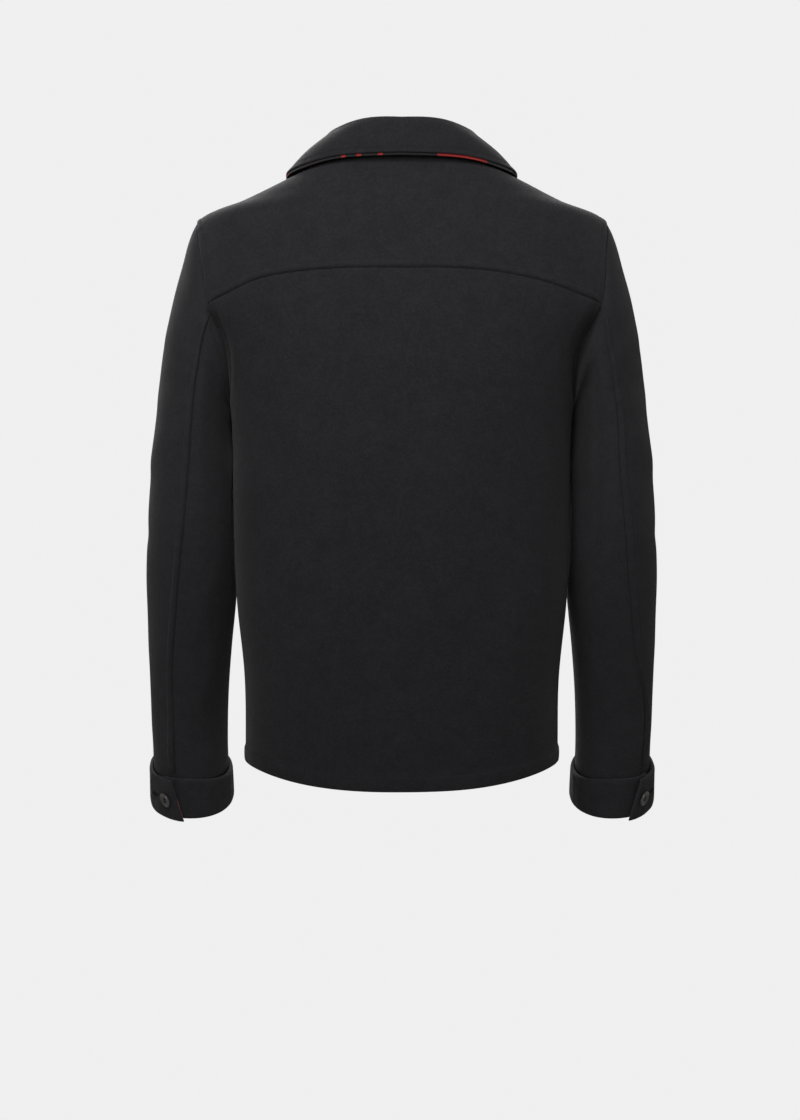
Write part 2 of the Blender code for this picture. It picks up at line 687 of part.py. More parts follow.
def button_mesh(radius):
    # A turned disc with a rounded rim and a dished middle, then four holes cut through
    profile = list(zip(BUTTON_PROFILE["radius"], BUTTON_PROFILE["height"]))
    points = [(0, 0, 0), (0, 0, BUTTON_HEIGHT * profile[0][1])]
    rings = []
    for share, height in profile[1:]:
        rings.append(len(points))
        for side in range(BUTTON_SIDES):
            turn = 2 * math.pi * side / BUTTON_SIDES
            x = radius * share * math.cos(turn)
            y = radius * share * math.sin(turn)
            points.append((x, y, BUTTON_HEIGHT * height))
    faces = []
    for side in range(BUTTON_SIDES):
        after = (side + 1) % BUTTON_SIDES
        faces.append((1, rings[0] + side, rings[0] + after))
        for high, low in zip(rings[:-1], rings[1:]):
            faces.append((high + side, low + side, low + after, high + after))
        faces.append((0, rings[-1] + after, rings[-1] + side))
    mesh = bpy.data.meshes.new("button blank")
    mesh.from_pydata(points, [], faces)
    blank = bpy.data.objects.new("button blank", mesh)
    bpy.context.collection.objects.link(blank)
    drills = []
    for across in (-1, 1):
        for along in (-1, 1):
            drill_mesh = prism(radius * HOLE_RADIUS, HOLE_SIDES)
            drill = bpy.data.objects.new("drill", drill_mesh)
            drill.location = (across * radius * HOLE_PLACE, along * radius * HOLE_PLACE, 0)
            bpy.context.collection.objects.link(drill)
            cut = blank.modifiers.new("hole", "BOOLEAN")
            cut.object = drill
            cut.solver = "EXACT"
            drills.append(drill)
    bpy.context.view_layer.update()
    graph = bpy.context.evaluated_depsgraph_get()
    made = bpy.data.meshes.new_from_object(blank.evaluated_get(graph))
    for extra in [blank, *drills]:
        bpy.data.objects.remove(extra, do_unlink=True)
    made.shade_smooth()
    made.set_sharp_from_angle(angle=math.radians(40))
    return made


def prism(radius, sides):
    reach = BUTTON_HEIGHT * 2
    points = []
    for height in (-reach, reach):
        for side in range(sides):
            turn = 2 * math.pi * (side + 0.5) / sides
            points.append((radius * math.cos(turn), radius * math.sin(turn), height))
    faces = [tuple(range(sides))[::-1], tuple(range(sides, 2 * sides))]
    for side in range(sides):
        after = (side + 1) % sides
        faces.append((side, after, sides + after, sides + side))
    mesh = bpy.data.meshes.new("drill")
    mesh.from_pydata(points, [], faces)
    return mesh


def place_button(name, mesh, point, outward, upward):
    own = mesh.copy()
    own.materials.clear()
    own.materials.append(horn(name))
    made = bpy.data.objects.new(name, own)
    z = Vector(outward).normalized()
    x = Vector(upward).cross(z).normalized()
    y = z.cross(x)
    turn = Matrix((x, y, z)).transposed().to_4x4()
    made.matrix_world = Matrix.Translation(Vector(point) + z * SEAM_GAP) @ turn
    bpy.context.collection.objects.link(made)


def build_front_buttons():
    mesh = button_mesh(FRONT_BUTTON_RADIUS)
    for index in range(FRONT_BUTTONS):
        angle = np.array(-math.pi / 2)
        level = level_for_height(angle, FRONT_BUTTON_TOP - index * FRONT_BUTTON_PITCH)
        point = torso(angle, level)
        outward = torso_normal(angle, level)
        place_button("front_button_" + str(index + 1), mesh, point, outward, (0, 0, 1))


def build_cuff_button(side):
    mesh = button_mesh(CUFF_BUTTON_RADIUS)
    angle = np.array(math.radians(CUFF_TAB[side]["button"]))
    lift = CUFF_GAP + CUFF_UNDER_END + CUFF_GAP
    along = np.array(CUFF_START + CUFF_HEIGHT / 2)
    point = cuff(angle, along, lift + CUFF_WALL)
    outward = unit(point - cuff(angle, along, lift))
    upward = cuff(angle, along - 0.01, lift) - cuff(angle, along, lift)
    values = [mirrored(np.array(value), side) for value in (point, outward, upward)]
    place_button("cuff_button_" + side, mesh, *values)


def main():
    for old in list(bpy.data.objects):
        bpy.data.objects.remove(old, do_unlink=True)
    build_yoke()
    build_back()
    for side in ("left", "right"):
        build_front(side)
        build_sleeve(side)
        build_cuff(side)
        build_cuff_button(side)
    build_collar()
    build_front_buttons()


main()
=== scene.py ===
import math

import bmesh
import bpy
import numpy as np
from mathutils import Matrix, Vector


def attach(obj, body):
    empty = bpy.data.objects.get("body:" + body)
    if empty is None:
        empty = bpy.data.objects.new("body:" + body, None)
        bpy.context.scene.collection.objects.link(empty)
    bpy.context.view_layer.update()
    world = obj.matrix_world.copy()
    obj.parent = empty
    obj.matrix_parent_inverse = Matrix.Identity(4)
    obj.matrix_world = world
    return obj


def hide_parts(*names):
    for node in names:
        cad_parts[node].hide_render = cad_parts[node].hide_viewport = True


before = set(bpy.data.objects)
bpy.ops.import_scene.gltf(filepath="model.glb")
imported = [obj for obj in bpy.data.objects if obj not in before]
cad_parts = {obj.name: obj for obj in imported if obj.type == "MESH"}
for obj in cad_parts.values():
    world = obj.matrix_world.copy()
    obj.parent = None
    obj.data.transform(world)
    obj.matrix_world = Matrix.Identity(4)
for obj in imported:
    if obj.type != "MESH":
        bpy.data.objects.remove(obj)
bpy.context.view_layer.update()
print("frame loaded:", len(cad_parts), "nodes")

# The jacket's own frame: +X the wearer's left, -Y the front, +Z up, origin at the nape.
# A torso point is an angle (0 = left side, 90 degrees = centre back) and a level along the cloth.
cloth = {
    "thickness": 0.0022,
    "seamGap": 0.00005,
    "grid": 0.0040,
    "roll": 0.0012,  # how far an edge rolls in at a seam
    "rollWidth": 0.0013,
    "weltWidth": 0.0088,
    "weltHeight": 0.0018,
    "weltShare": 0.6,  # of that height, on the body beside the armhole
    "deepest": -0.0015,
    "stitchLine": 0.0074,
    "stitchSink": 0.0005,
    "pucker": 0.00026,
}
levels = {"armpit": 0.382, "shoulder": 0.5875, "neck": 0.7461}
halfGap = cloth["seamGap"] / 2
bodyStep = 0.0036
# Distances from a seam at which points stand, close together over the roll and the stitches
nearEdge = [0, 0.3, 0.7, 1.2, 1.8, 2.6, 3.6, 4.6, 5.6, 6.2, 6.8, 7.4, 8, 8.8, 9.8, 11.2, 13.6]
nearEdge = np.array(nearEdge) / 1000
stitchAt, edgeStitchAt = 11, 9  # which of them lie on the stitches of a welt and of a free edge
weltFrom = 12  # rows above the armpit where a welt's stitches start


def table(names, rows):
    return dict(zip(names.split(), np.array(rows, float).T))


def cubic(stations, values, at):
    # Cubic through the values, its slopes taken from the neighbours
    slopes = np.gradient(values, stations, axis=0)
    at = np.clip(np.asarray(at, float), stations[0], stations[-1])
    index = np.clip(np.searchsorted(stations, at, side="right") - 1, 0, len(stations) - 2)
    deeper = (...,) + (None,) * (values.ndim - 1)
    width = (stations[index + 1] - stations[index])[deeper]
    t = (at - stations[index])[deeper] / width
    start = (1 + 2 * t) * (1 - t) ** 2 * values[index] + t * (1 - t) ** 2 * width * slopes[index]
    return start + t * t * (3 - 2 * t) * values[index + 1] + t * t * (t - 1) * width * slopes[index + 1]


def curve(rows, key, name, at):
    return cubic(rows[key], rows[name], at)


def curves(rows, key, at):
    # Every other column of a table at once
    return {name: curve(rows, key, name, at) for name in rows if name != key}


def signedPower(value, power):
    return np.sign(value) * np.abs(value) ** power


def smoothStep(value, low, high):
    t = np.clip((value - low) / (high - low), 0, 1)
    return t * t * (3 - 2 * t)


def bump(value, centre, width):
    return np.exp(-(((value - centre) / width) ** 2))


def unit(vectors):
    return vectors / np.maximum(np.linalg.norm(vectors, axis=-1, keepdims=True), 1e-12)


def gridNormal(grid):
    return unit(np.cross(np.gradient(grid, axis=1), np.gradient(grid, axis=0)))


def outwardOf(grid, normal):
    # A grid's own normal, turned to the side that a plain normal points to
    made = gridNormal(grid)
    return made * np.sign((made * normal).sum(axis=-1))[..., None]


def runAlong(points):
    # Length along each row of points, from its start
    lengths = np.cumsum(np.linalg.norm(np.diff(points, axis=-2), axis=-1), axis=-1)
    return np.concatenate([np.zeros((*lengths.shape[:-1], 1)), lengths], axis=-1)


def facesRound(number, flipped=False):
    # Quads between neighbouring rings of a grid of point numbers, closed round each ring
    after = np.roll(number, -1, axis=1)
    quads = np.stack([number[:-1], after[:-1], after[1:], number[1:]], axis=-1).reshape(-1, 4)
    return quads[:, [0, 3, 2, 1]] if flipped else quads


def turnsOf(count):
    return np.linspace(0, 2 * math.pi, count, endpoint=False)


torsoRings = table(
    "level zSide zBack zFront halfWidth ySide yBack yFront square",
    [
        (0.000, -0.666, -0.690, -0.686, 0.1715, -0.070, 0.044, -0.205, 2.6),
        (0.092, -0.573, -0.591, -0.588, 0.1730, -0.070, 0.044, -0.206, 2.6),
        (0.172, -0.492, -0.505, -0.503, 0.1810, -0.069, 0.046, -0.208, 2.6),
        (0.282, -0.382, -0.388, -0.388, 0.1845, -0.068, 0.049, -0.211, 2.6),
        (0.382, -0.282, -0.282, -0.284, 0.1875, -0.067, 0.052, -0.214, 2.7),
        (0.452, -0.212, -0.207, -0.218, 0.2035, -0.066, 0.052, -0.213, 2.9),
        (0.502, -0.162, -0.153, -0.178, 0.2260, -0.065, 0.048, -0.204, 2.9),
        (0.552, -0.112, -0.104, -0.142, 0.2315, -0.065, 0.037, -0.186, 2.7),
        (0.5875, -0.0785, -0.071, -0.122, 0.2230, -0.065, 0.027, -0.172, 2.4),
        (0.640, -0.0555, -0.041, -0.105, 0.1740, -0.065, 0.0155, -0.160, 2.2),
        (0.695, -0.0310, -0.018, -0.092, 0.1242, -0.065, 0.0065, -0.152, 2.2),
        (0.7461, -0.0090, 0.000, -0.077, 0.0780, -0.065, 0.000, -0.145, 2.1),
    ],
)


def ringAt(level):
    return curves(torsoRings, "level", level)


def torso(angle, level):
    # A rounded box in plan: the cosine and sine of the angle, each to a power, times the half sizes
    angle, level = np.broadcast_arrays(np.asarray(angle, float), np.asarray(level, float))
    at = ringAt(level)
    across, along = np.cos(angle), np.sin(angle)
    power = 2 / at["square"]
    depth = np.where(along > 0, at["yBack"] - at["ySide"], at["ySide"] - at["yFront"])
    drop = np.where(along > 0, at["zBack"] - at["zSide"], at["zFront"] - at["zSide"])
    x = at["halfWidth"] * signedPower(across, power)
    y = at["ySide"] + depth * signedPower(along, power)
    return np.stack([x, y, at["zSide"] + drop * along**2], axis=-1)


def torsoNormal(angle, level):
    turn, rise = 0.02, 0.003
    roundIt = torso(angle + turn, level) - torso(angle - turn, level)
    high, low = np.minimum(level + rise, levels["neck"]), np.maximum(level - rise, 0)
    return unit(np.cross(roundIt, torso(angle, high) - torso(angle, low)))


def angleForDepth(level, depth):
    at = ringAt(level)
    reach = np.where(depth > 0, at["yBack"] - at["ySide"], at["ySide"] - at["yFront"])
    return np.sign(depth) * np.arcsin(np.clip(np.abs(depth) / reach, 0, 1) ** (at["square"] / 2))


def frontAngleForX(level, x):
    at = ringAt(level)
    return -np.arccos(np.sign(x) * np.clip(np.abs(x) / at["halfWidth"], 0, 1) ** (at["square"] / 2))


def levelForHeight(angle, height):
    low, high = np.zeros(np.shape(angle)), np.full(np.shape(angle), levels["neck"])
    for _ in range(30):
        middle = (low + high) / 2
        below = torso(angle, middle)[..., 2] < height
        low, high = np.where(below, middle, low), np.where(below, high, middle)
    return (low + high) / 2


# The armhole is an oval in depth and level, turned from the shoulder point, positive to the back
armholeOval = {
    "middle": (levels["armpit"] + levels["shoulder"]) / 2,
    "half": (levels["shoulder"] - levels["armpit"]) / 2,
    "back": 0.069,
    "front": 0.085,
    "turn": math.radians(11.25),
}


def armhole(turns, grow):
    phi = np.asarray(turns, float) * armholeOval["turn"]
    level = armholeOval["middle"] + (armholeOval["half"] + grow) * np.cos(phi)
    reach = np.where(np.sin(phi) > 0, armholeOval["back"], armholeOval["front"]) + grow
    return angleForDepth(level, reach * np.sin(phi)), level


def panelEdge(level, side):
    # Angle of a body panel's edge: the side seam, then round the armhole
    reach = armholeOval["back" if side > 0 else "front"] + halfGap
    share = np.clip((level - armholeOval["middle"]) / (armholeOval["half"] + halfGap), -1, 1)
    return angleForDepth(level, side * np.maximum(reach * np.sqrt(1 - share**2), halfGap))


yoke = {
    "backTurns": 7,
    "frontTurns": 2,
    "frontGap": 0.0045,
    "neckCorner": math.radians(46),
    "armSteps": 54,
    "backSteps": 110,
    "neckRows": 38,
    "seam": table(
        "x z",
        [
            (0.000, -0.1334),
            (0.060, -0.1337),
            (0.120, -0.1382),
            (0.170, -0.1455),
            (0.200, -0.1560),
            (0.214, -0.1660),
        ],
    ),
}
cornerAngle, cornerLevel = armhole(yoke["backTurns"], halfGap)
seamAngles = np.linspace(0.15, math.pi / 2, 400)
seamLevels = np.full(seamAngles.shape, 0.53)
for _ in range(10):
    seamX = np.abs(torso(seamAngles, seamLevels)[..., 0])
    seamLevels = levelForHeight(seamAngles, curve(yoke["seam"], "x", "z", seamX))
cornerMiss = cornerLevel - halfGap - np.interp(cornerAngle, seamAngles, seamLevels)
print("yoke corner off the seam by", round(float(cornerMiss) * 1000, 3), "mm")


def seamLevel(angle):
    # Level of the back yoke seam, eased onto the armhole's corner
    folded = math.pi / 2 - np.abs(angle - math.pi / 2)
    return np.interp(folded, seamAngles, seamLevels) + cornerMiss * bump(folded, cornerAngle, 0.15)


def spreadAcross(surface, start, end, row, near, far):
    # Each row's parameters: set distances from both its ends and even steps between, by arc length
    at = start[:, None] + (end - start)[:, None] * np.linspace(0, 1, 261)
    along = runAlong(surface(at, np.broadcast_to(row[:, None], at.shape)))
    total = along[:, -1:]
    count = int(np.ceil((total.max() - near[-1] - far[-1]) / cloth["grid"]))
    even = near[-1] + (total - near[-1] - far[-1]) * np.linspace(0, 1, count + 1)[1:-1]
    stations = np.concatenate([near + 0 * total, even, total - far[::-1]], axis=1)
    made = np.stack([np.interp(*three) for three in zip(stations, along, at)])
    return made, stations, total - stations


def edgeRoll(distance):
    # A dip along an edge, so that two edges meet in a soft groove
    return -cloth["roll"] * bump(distance, 0, cloth["rollWidth"])


def kept(relief):
    # Holds a dip clear of the cloth's inner face
    return np.maximum(relief, cloth["deepest"])


def welt(distance):
    # Height over a seam allowance: a round swell up to its stitches, a dip under them, then a soft fall
    fall = 1 - smoothStep(distance, cloth["stitchLine"] - 0.002, cloth["weltWidth"] + 0.0026)
    swell = np.sin(math.pi * np.clip((distance + 0.0008) / (cloth["stitchLine"] + 0.0016), 0, 1)) ** 0.7
    height = 0.35 * fall + 0.65 * swell
    return cloth["weltHeight"] * height - stitchDip(distance - cloth["stitchLine"] - 0.0002)


def stitchDip(distance):
    return cloth["stitchSink"] * bump(distance, 0, 0.0009)


def freeEdge(distance, radius):
    # Quarter round: how far each wall draws in towards the other near a free edge
    share = np.clip(distance / radius, 0, 1)
    return radius * 0.86 * (1 - np.sqrt(1 - (1 - share) ** 2))


puckerWaves = [(0.0021, 0, 0.5), (0.00139, 1.3, 0.3), (0.0034, 0.6, 0.45)]


def puckers(along, fade):
    # Short uneven waves along a line of stitches
    waves = sum(share * np.sin(along / length + start) for length, start, share in puckerWaves)
    return cloth["pucker"] * waves * fade


def softFolds(across, up, rows):
    # Ridges and troughs: each a Gaussian across its line, eased in and out along it
    made = np.zeros(np.broadcast(across, up).shape)
    for x0, z0, x1, z1, width, depth in np.stack(list(rows.values()), axis=1):
        run = np.array([x1 - x0, z1 - z0])
        length = np.hypot(*run)
        along = ((across - x0) * run[0] + (up - z0) * run[1]) / length**2
        aside = ((across - x0) * run[1] - (up - z0) * run[0]) / length
        bend = aside + 0.12 * width * np.sin(along * 5)
        eased = smoothStep(along, -0.25, 0.25) * (1 - smoothStep(along, 0.7, 1.2))
        made = made + depth * bump(bend, 0, width) * eased
    return made


# Where the yoke's back corners sink: x, z, width across and up, distance down and outward
droop = [
    (0.2105, -0.150, 0.048, 0.055, -0.0125, 0),
    (-0.2105, -0.153, 0.075, 0.055, -0.0130, -0.0065),
]
armholeDip = {
    "left": {"back": -0.0120, "front": 0.0045, "torsoWidth": 0.0105, "sleeveWidth": 0.0095},
    "right": {"back": -0.0150, "front": 0.0050, "torsoWidth": 0.0135, "sleeveWidth": 0.0190},
}


def settled(points):
    # The cloth slides down over itself at the yoke's back corners, so they sit lower than in a plain pattern
    x, y, z = points[..., 0], points[..., 1], points[..., 2]
    moved = points.copy()
    for middle, height, acrossWidth, upWidth, down, out in droop:
        share = bump(x, middle, acrossWidth) * bump(z, height, upWidth) * smoothStep(y, -0.075, -0.02)
        moved[..., 2] += down * share
        moved[..., 0] += out * share
    return moved


def dipAt(seam, side):
    # How far the cloth is drawn in, front to back, at points of the armhole seam
    y, z = seam[..., 1], seam[..., 2]
    low = smoothStep(-z, 0.153, 0.190)
    back = armholeDip[side]["back"] * smoothStep(y, -0.062, -0.02)
    return low * (back + armholeDip[side]["front"] * smoothStep(-y, 0.075, 0.115))


def armholeShare(level):
    # Share of the armhole's welt, eased in above the armpit
    return smoothStep(level, levels["armpit"] + 0.004, levels["armpit"] + 0.04)


def foldedOver(seam):
    # Share of the armhole, by height, where the sleeve folds against the body
    return smoothStep(-seam[..., 2], 0.128, 0.150)


def slowWaves(across, up, height):
    # Wide shallow unevenness of heavy cloth
    return height * (
        np.sin(across * 41 + up * 17 + 0.4)
        + 0.7 * np.sin(across * 23 - up * 33 + 2.1)
        + 0.5 * np.sin(across * 67 + up * 51 + 4.0)
        + 0.4 * np.sin(up * 88 - across * 29 + 1.0)
    )


def meshFrom(name, points, faces, paints, slots=None, uv=None):
    mesh = bpy.data.meshes.new(name)
    mesh.vertices.add(len(points))
    mesh.vertices.foreach_set("co", points.astype(np.float32).ravel())
    mesh.loops.add(faces.size)
    mesh.loops.foreach_set("vertex_index", faces.astype(np.int32).ravel())
    mesh.polygons.add(len(faces))
    mesh.polygons.foreach_set("loop_start", np.arange(len(faces), dtype=np.int32) * faces.shape[1])
    if slots is not None:
        mesh.polygons.foreach_set("material_index", slots.astype(np.int32))
    mesh.update(calc_edges=True)
    mesh.shade_smooth()
    if uv is not None:
        layer = mesh.uv_layers.new(name="flat")
        layer.uv.foreach_set("vector", uv[faces.ravel()].astype(np.float32).ravel())
    for paint in paints:
        mesh.materials.append(paint)
    made = bpy.data.objects.new(name, mesh)
    bpy.context.scene.collection.objects.link(made)
    return made


def wallFrom(name, outer, inner, uv, paints, rims=(0, 0, 0, 0)):
    # One closed wall from two grids: its two faces, and a strip along each of its four edges
    rows, cols = outer.shape[:2]
    count = rows * cols
    number = np.arange(count).reshape(rows, cols)
    lid = np.stack([number[:-1, :-1], number[:-1, 1:], number[1:, 1:], number[1:, :-1]], axis=-1)
    lid = lid.reshape(-1, 4)
    quads, slots = [lid, lid[:, ::-1] + count], [np.zeros(len(lid)), np.ones(len(lid))]
    for rim, edge in zip(rims, (number[0], number[-1, ::-1], number[::-1, 0], number[:, -1])):
        quads.append(np.stack([edge[1:], edge[:-1], edge[:-1] + count, edge[1:] + count], axis=-1))
        slots.append(np.broadcast_to(rim, len(edge) - 1))
    quads = np.concatenate(quads)
    middle = (rows // 2, cols // 2)
    along = outer[middle] - outer[middle[0], middle[1] - 1]
    up = outer[middle] - outer[middle[0] - 1, middle[1]]
    if np.dot(np.cross(along, up), outer[middle] - inner[middle]) < 0:
        quads = quads[:, ::-1]
    points = np.concatenate([outer.reshape(-1, 3), inner.reshape(-1, 3)])
    flat = np.concatenate([uv.reshape(-1, 2)] * 2)
    return meshFrom(name, points, quads, paints, np.concatenate(slots), flat)


def mirrored(points, side):
    return points * np.array([1 if side == "left" else -1, 1, 1])


def dressed(piece, node, sheet=None, threads=()):
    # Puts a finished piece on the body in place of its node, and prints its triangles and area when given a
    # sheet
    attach(piece, "root")
    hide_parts(node)
    for thread in threads:
        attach(thread, "root")
    if sheet:
        mesh = piece.data
        mesh.calc_loop_triangles()
        area = sum(face.area for face in mesh.polygons) / 2
        print(f"{node}: {len(mesh.loop_triangles)} triangles, {area:.4f} square metres")


class Wire:
    # A socket in a sum: each operator adds one Math node
    def __init__(self, paint, socket):
        self.paint, self.socket = paint, socket

    def maths(self, operation, *others):
        values = dict(enumerate([self, *others]))
        return self.paint.node("Math", {"operation": operation}, values)

    def __add__(self, other):
        return self.maths("ADD", other)

    def __sub__(self, other):
        return self.maths("SUBTRACT", other)

    def __mul__(self, other):
        return self.maths("MULTIPLY", other)

    def __truediv__(self, other):
        return self.maths("DIVIDE", other)

    def __rsub__(self, other):
        return self.paint.node("Math", {"operation": "SUBTRACT"}, {0: other, 1: self})

    __radd__, __rmul__ = __add__, __mul__


class Paint:
    # A material that is built node by node round one Principled shader
    def __init__(self, name):
        self.made = bpy.data.materials.new(name)
        self.made.use_nodes = True
        self.tree = self.made.node_tree
        self.shader = self.tree.nodes["Principled BSDF"]

    def fill(self, node, inputs):
        for key, value in inputs.items():
            if isinstance(value, Wire):
                self.tree.links.new(value.socket, node.inputs[key])
            else:
                node.inputs[key].default_value = value

    def node(self, kind, settings, inputs, output=0):
        made = self.tree.nodes.new("ShaderNode" + kind)
        for key, value in settings.items():
            if key == "stops":
                for stop, (place, colour) in zip(made.color_ramp.elements, value):
                    stop.position, stop.color = place, (*colour, 1)
            else:
                setattr(made, key, value)
        self.fill(made, inputs)
        return Wire(self, made.outputs[output])

    def noise(self, place, scale, detail=2, roughness=0.5):
        inputs = {"Vector": place, "Scale": scale, "Detail": detail, "Roughness": roughness}
        return self.node("TexNoise", {}, inputs)

    def mix(self, share, first, second):
        return self.node("Mix", {"data_type": "RGBA"}, {0: share, 6: first, 7: second}, output=2)

    def spread(self, value, low, high):
        return self.node("MapRange", {"clamp": True}, {0: value, 1: low, 2: high})

    def finish(self, **inputs):
        self.fill(self.shader, {key.replace("_", " "): value for key, value in inputs.items()})
        return self.made


meltonLook = {
    "deep": (0.0085, 0.0083, 0.0094, 1),
    "worn": (0.0205, 0.0200, 0.0222, 1),
    "fleckAndLight": (0.085, 0.084, 0.090, 1),
    "shade": (0.0045, 0.0044, 0.0050, 1),
    "curl": (0.042, 0.041, 0.045, 1),
    "roughness": 0.96,
    "sheen": 0.05,
}


def meltonPaint():
    # Felted wool: clumps of fibre of three sizes, curls, single pale fibres and a short nap
    paint = Paint("melton")
    place = paint.node("TexCoord", {}, {}, output="Object")
    fibre = paint.noise(place, 1150, 3, 0.65)
    clump = paint.noise(place, 330, 3, 0.6)
    mottle = paint.noise(place, 52, 4, 0.55)
    tone = paint.spread(fibre + clump * 0.6 + mottle * 0.42, 0.60, 1.42)
    colour = paint.mix(tone, meltonLook["deep"], meltonLook["worn"])
    curl = paint.noise(place, 165, 4, 0.68)
    patch = paint.spread(paint.noise(place, 75, 2, 0.5), 0.50, 0.62)
    dark = (1 - paint.spread((curl - 0.47).maths("ABSOLUTE"), 0.003, 0.014)) * patch
    light = (1 - paint.spread((curl - 0.55).maths("ABSOLUTE"), 0.003, 0.012)) * (1 - patch)
    colour = paint.mix(dark * 0.45, colour, meltonLook["shade"])
    colour = paint.mix(light * 0.28, colour, meltonLook["curl"])
    # Painted shade: the body's cloth is darkened towards the hem, where less light falls, and painted light
    # makes the sleeves a little paler
    aside = paint.node("SeparateXYZ", {}, {0: place}, output=0).maths("ABSOLUTE")
    height = paint.node("SeparateXYZ", {}, {0: place}, output=2)
    body = 1 - paint.spread(aside, 0.185, 0.205)
    colour = paint.mix(body * (1 - paint.spread(height, -0.72, -0.20)) * 0.30, colour, (0, 0, 0, 1))
    # Painted light: the sleeves are lifted a little towards the pale fleck colour
    colour = paint.mix((1 - body) * 0.03, colour, meltonLook["fleckAndLight"])
    hairs = paint.spread(paint.noise(place, 1500, 2, 0.7), 0.66, 0.78)
    colour = paint.mix(hairs * 0.6, colour, meltonLook["fleckAndLight"])
    nap = paint.noise(place, 700, 4, 0.75)
    normal = paint.node("Bump", {}, {"Strength": 0.55, "Distance": 0.0011, "Height": nap + clump * 0.6})
    return paint.finish(
        Base_Color=colour,
        Roughness=meltonLook["roughness"],
        Normal=normal,
        Sheen_Weight=meltonLook["sheen"],
        Sheen_Roughness=0.45,
        Specular_IOR_Level=0.12,
    )


checkLook = {
    "repeat": 0.250,
    "band": (-0.098, -0.038),
    "lines": (0.0228, 0.0462, 0.0640),
    "line": 0.0052,
    "weftShift": 0.055,
    "red": (0.300, 0.020, 0.017, 1),
    "black": (0.014, 0.013, 0.014, 1),
    "twill": 0.0019,
}


def checkBands(place):
    # Where a repeat is red: inside its band, or within half a line of each of its lines
    repeat = checkLook["repeat"]
    at = ((place / repeat + 20.5).maths("FRACT") - 0.5) * repeat
    low, high = checkLook["band"]
    red = at.maths("GREATER_THAN", low) * at.maths("LESS_THAN", high)
    for line in checkLook["lines"]:
        red = red + (at - line).maths("ABSOLUTE").maths("LESS_THAN", checkLook["line"] / 2)
    return red


def checkPaint():
    # Plain two-colour check: one wide band and three fine lines each way, drawn by a twill
    paint = Paint("checked_wool")
    flat = paint.node("UVMap", {"uv_map": "flat"}, {})
    across, along = [paint.node("SeparateXYZ", {}, {0: flat}, output=way) for way in (0, 1)]
    warp, weft = checkBands(across), checkBands(along + checkLook["weftShift"])
    twill = ((across + along) / checkLook["twill"] + 900).maths("FRACT").maths("LESS_THAN", 0.5)
    red = warp * (twill * 0.35 + 0.65) + weft * (1 - twill) * 0.8
    fuzz = paint.noise(flat, 900, 3, 0.7)
    red = paint.spread(red + fuzz * 0.5, 0.3, 1.15)
    colour = paint.mix(red, checkLook["black"], checkLook["red"])
    normal = paint.node("Bump", {}, {"Strength": 0.5, "Distance": 0.0008, "Height": fuzz + twill * 0.3})
    return paint.finish(
        Base_Color=colour, Roughness=0.92, Normal=normal, Sheen_Weight=0.1, Sheen_Roughness=0.5,
        Specular_IOR_Level=0.25,
    )


def threadPaint():
    paint = Paint("thread")
    place = paint.node("TexCoord", {}, {}, output="Object")
    twist = paint.noise(place, 2600, 2, 0.6)
    colour = paint.mix(twist, (0.004, 0.004, 0.005, 1), (0.011, 0.011, 0.012, 1))
    normal = paint.node("Bump", {}, {"Strength": 0.4, "Distance": 0.0002, "Height": twist})
    return paint.finish(Base_Color=colour, Roughness=0.85, Specular_IOR_Level=0.15, Normal=normal)


def hornPaint():
    # Grey-brown horn: long streaks, darker specks and a soft polish
    paint = Paint("button_horn")
    place = paint.node("TexCoord", {}, {}, output="Object")
    inputs = {"Vector": place, "Rotation": (0.3, 0.5, 0.7), "Scale": (1, 0.25, 0.6)}
    streak = paint.noise(paint.node("Mapping", {}, inputs), 420, 4, 0.6)
    speck = paint.noise(place, 1600, 2, 0.6)
    colour = paint.mix(paint.spread(streak, 0.3, 0.72), (0.016, 0.014, 0.013, 1), (0.072, 0.064, 0.058, 1))
    colour = paint.mix(paint.spread(speck, 0.58, 0.72) * 0.6, colour, (0.018, 0.016, 0.015, 1))
    normal = paint.node("Bump", {}, {"Strength": 0.15, "Distance": 0.0002, "Height": speck})
    return paint.finish(Base_Color=colour, Roughness=paint.spread(streak, 0, 1) * 0.2 + 0.25, Normal=normal)


melton, check, thread, horn = meltonPaint(), checkPaint(), threadPaint(), hornPaint()
print("materials made")


def sampled(values, along, at):
    return np.stack([np.interp(at, along, values[:, k]) for k in range(3)], axis=-1)


stitch = {"pitch": 0.0038, "length": 0.0029, "radius": 0.00027, "sides": 6}


def stitchesOn(path, normal):
    # Each stitch is a short thread that rises out of the cloth and dips back: rings carried along the path
    along = runAlong(path)
    starts = np.arange(0.001, along[-1] - stitch["length"], stitch["pitch"])
    share = np.array([0, 0.18, 0.5, 0.82, 1])
    thick = np.array([0.35, 0.95, 1, 0.95, 0.35]) * stitch["radius"]
    lift = np.array([-1.3, -0.25, 0.15, -0.25, -1.3]) * stitch["radius"]
    at = starts[:, None] + share * stitch["length"]
    centre, up = sampled(path, along, at), unit(sampled(normal, along, at))
    ahead = unit(sampled(path, along, at + 0.0004) - sampled(path, along, at - 0.0004))
    side = unit(np.cross(ahead, up))
    centre = centre + up * lift[:, None]
    turn = turnsOf(stitch["sides"])
    ring = side[:, :, None] * np.cos(turn)[:, None] + up[:, :, None] * np.sin(turn)[:, None]
    points = centre[:, :, None] + ring * thick[:, None, None]
    rings, sides = len(share), stitch["sides"]
    number = np.arange(rings * sides).reshape(rings, sides)
    first, last = number[0], number[-1]
    caps = np.array([first[[0, 3, 2, 1]], first[[0, 5, 4, 3]], last[[0, 1, 2, 3]], last[[0, 3, 4, 5]]])
    quads = np.concatenate([facesRound(number)[:, ::-1], caps[:, ::-1]])
    faces = quads[None] + (np.arange(len(starts)) * rings * sides)[:, None, None]
    return points.reshape(-1, 3), faces.reshape(-1, 4)


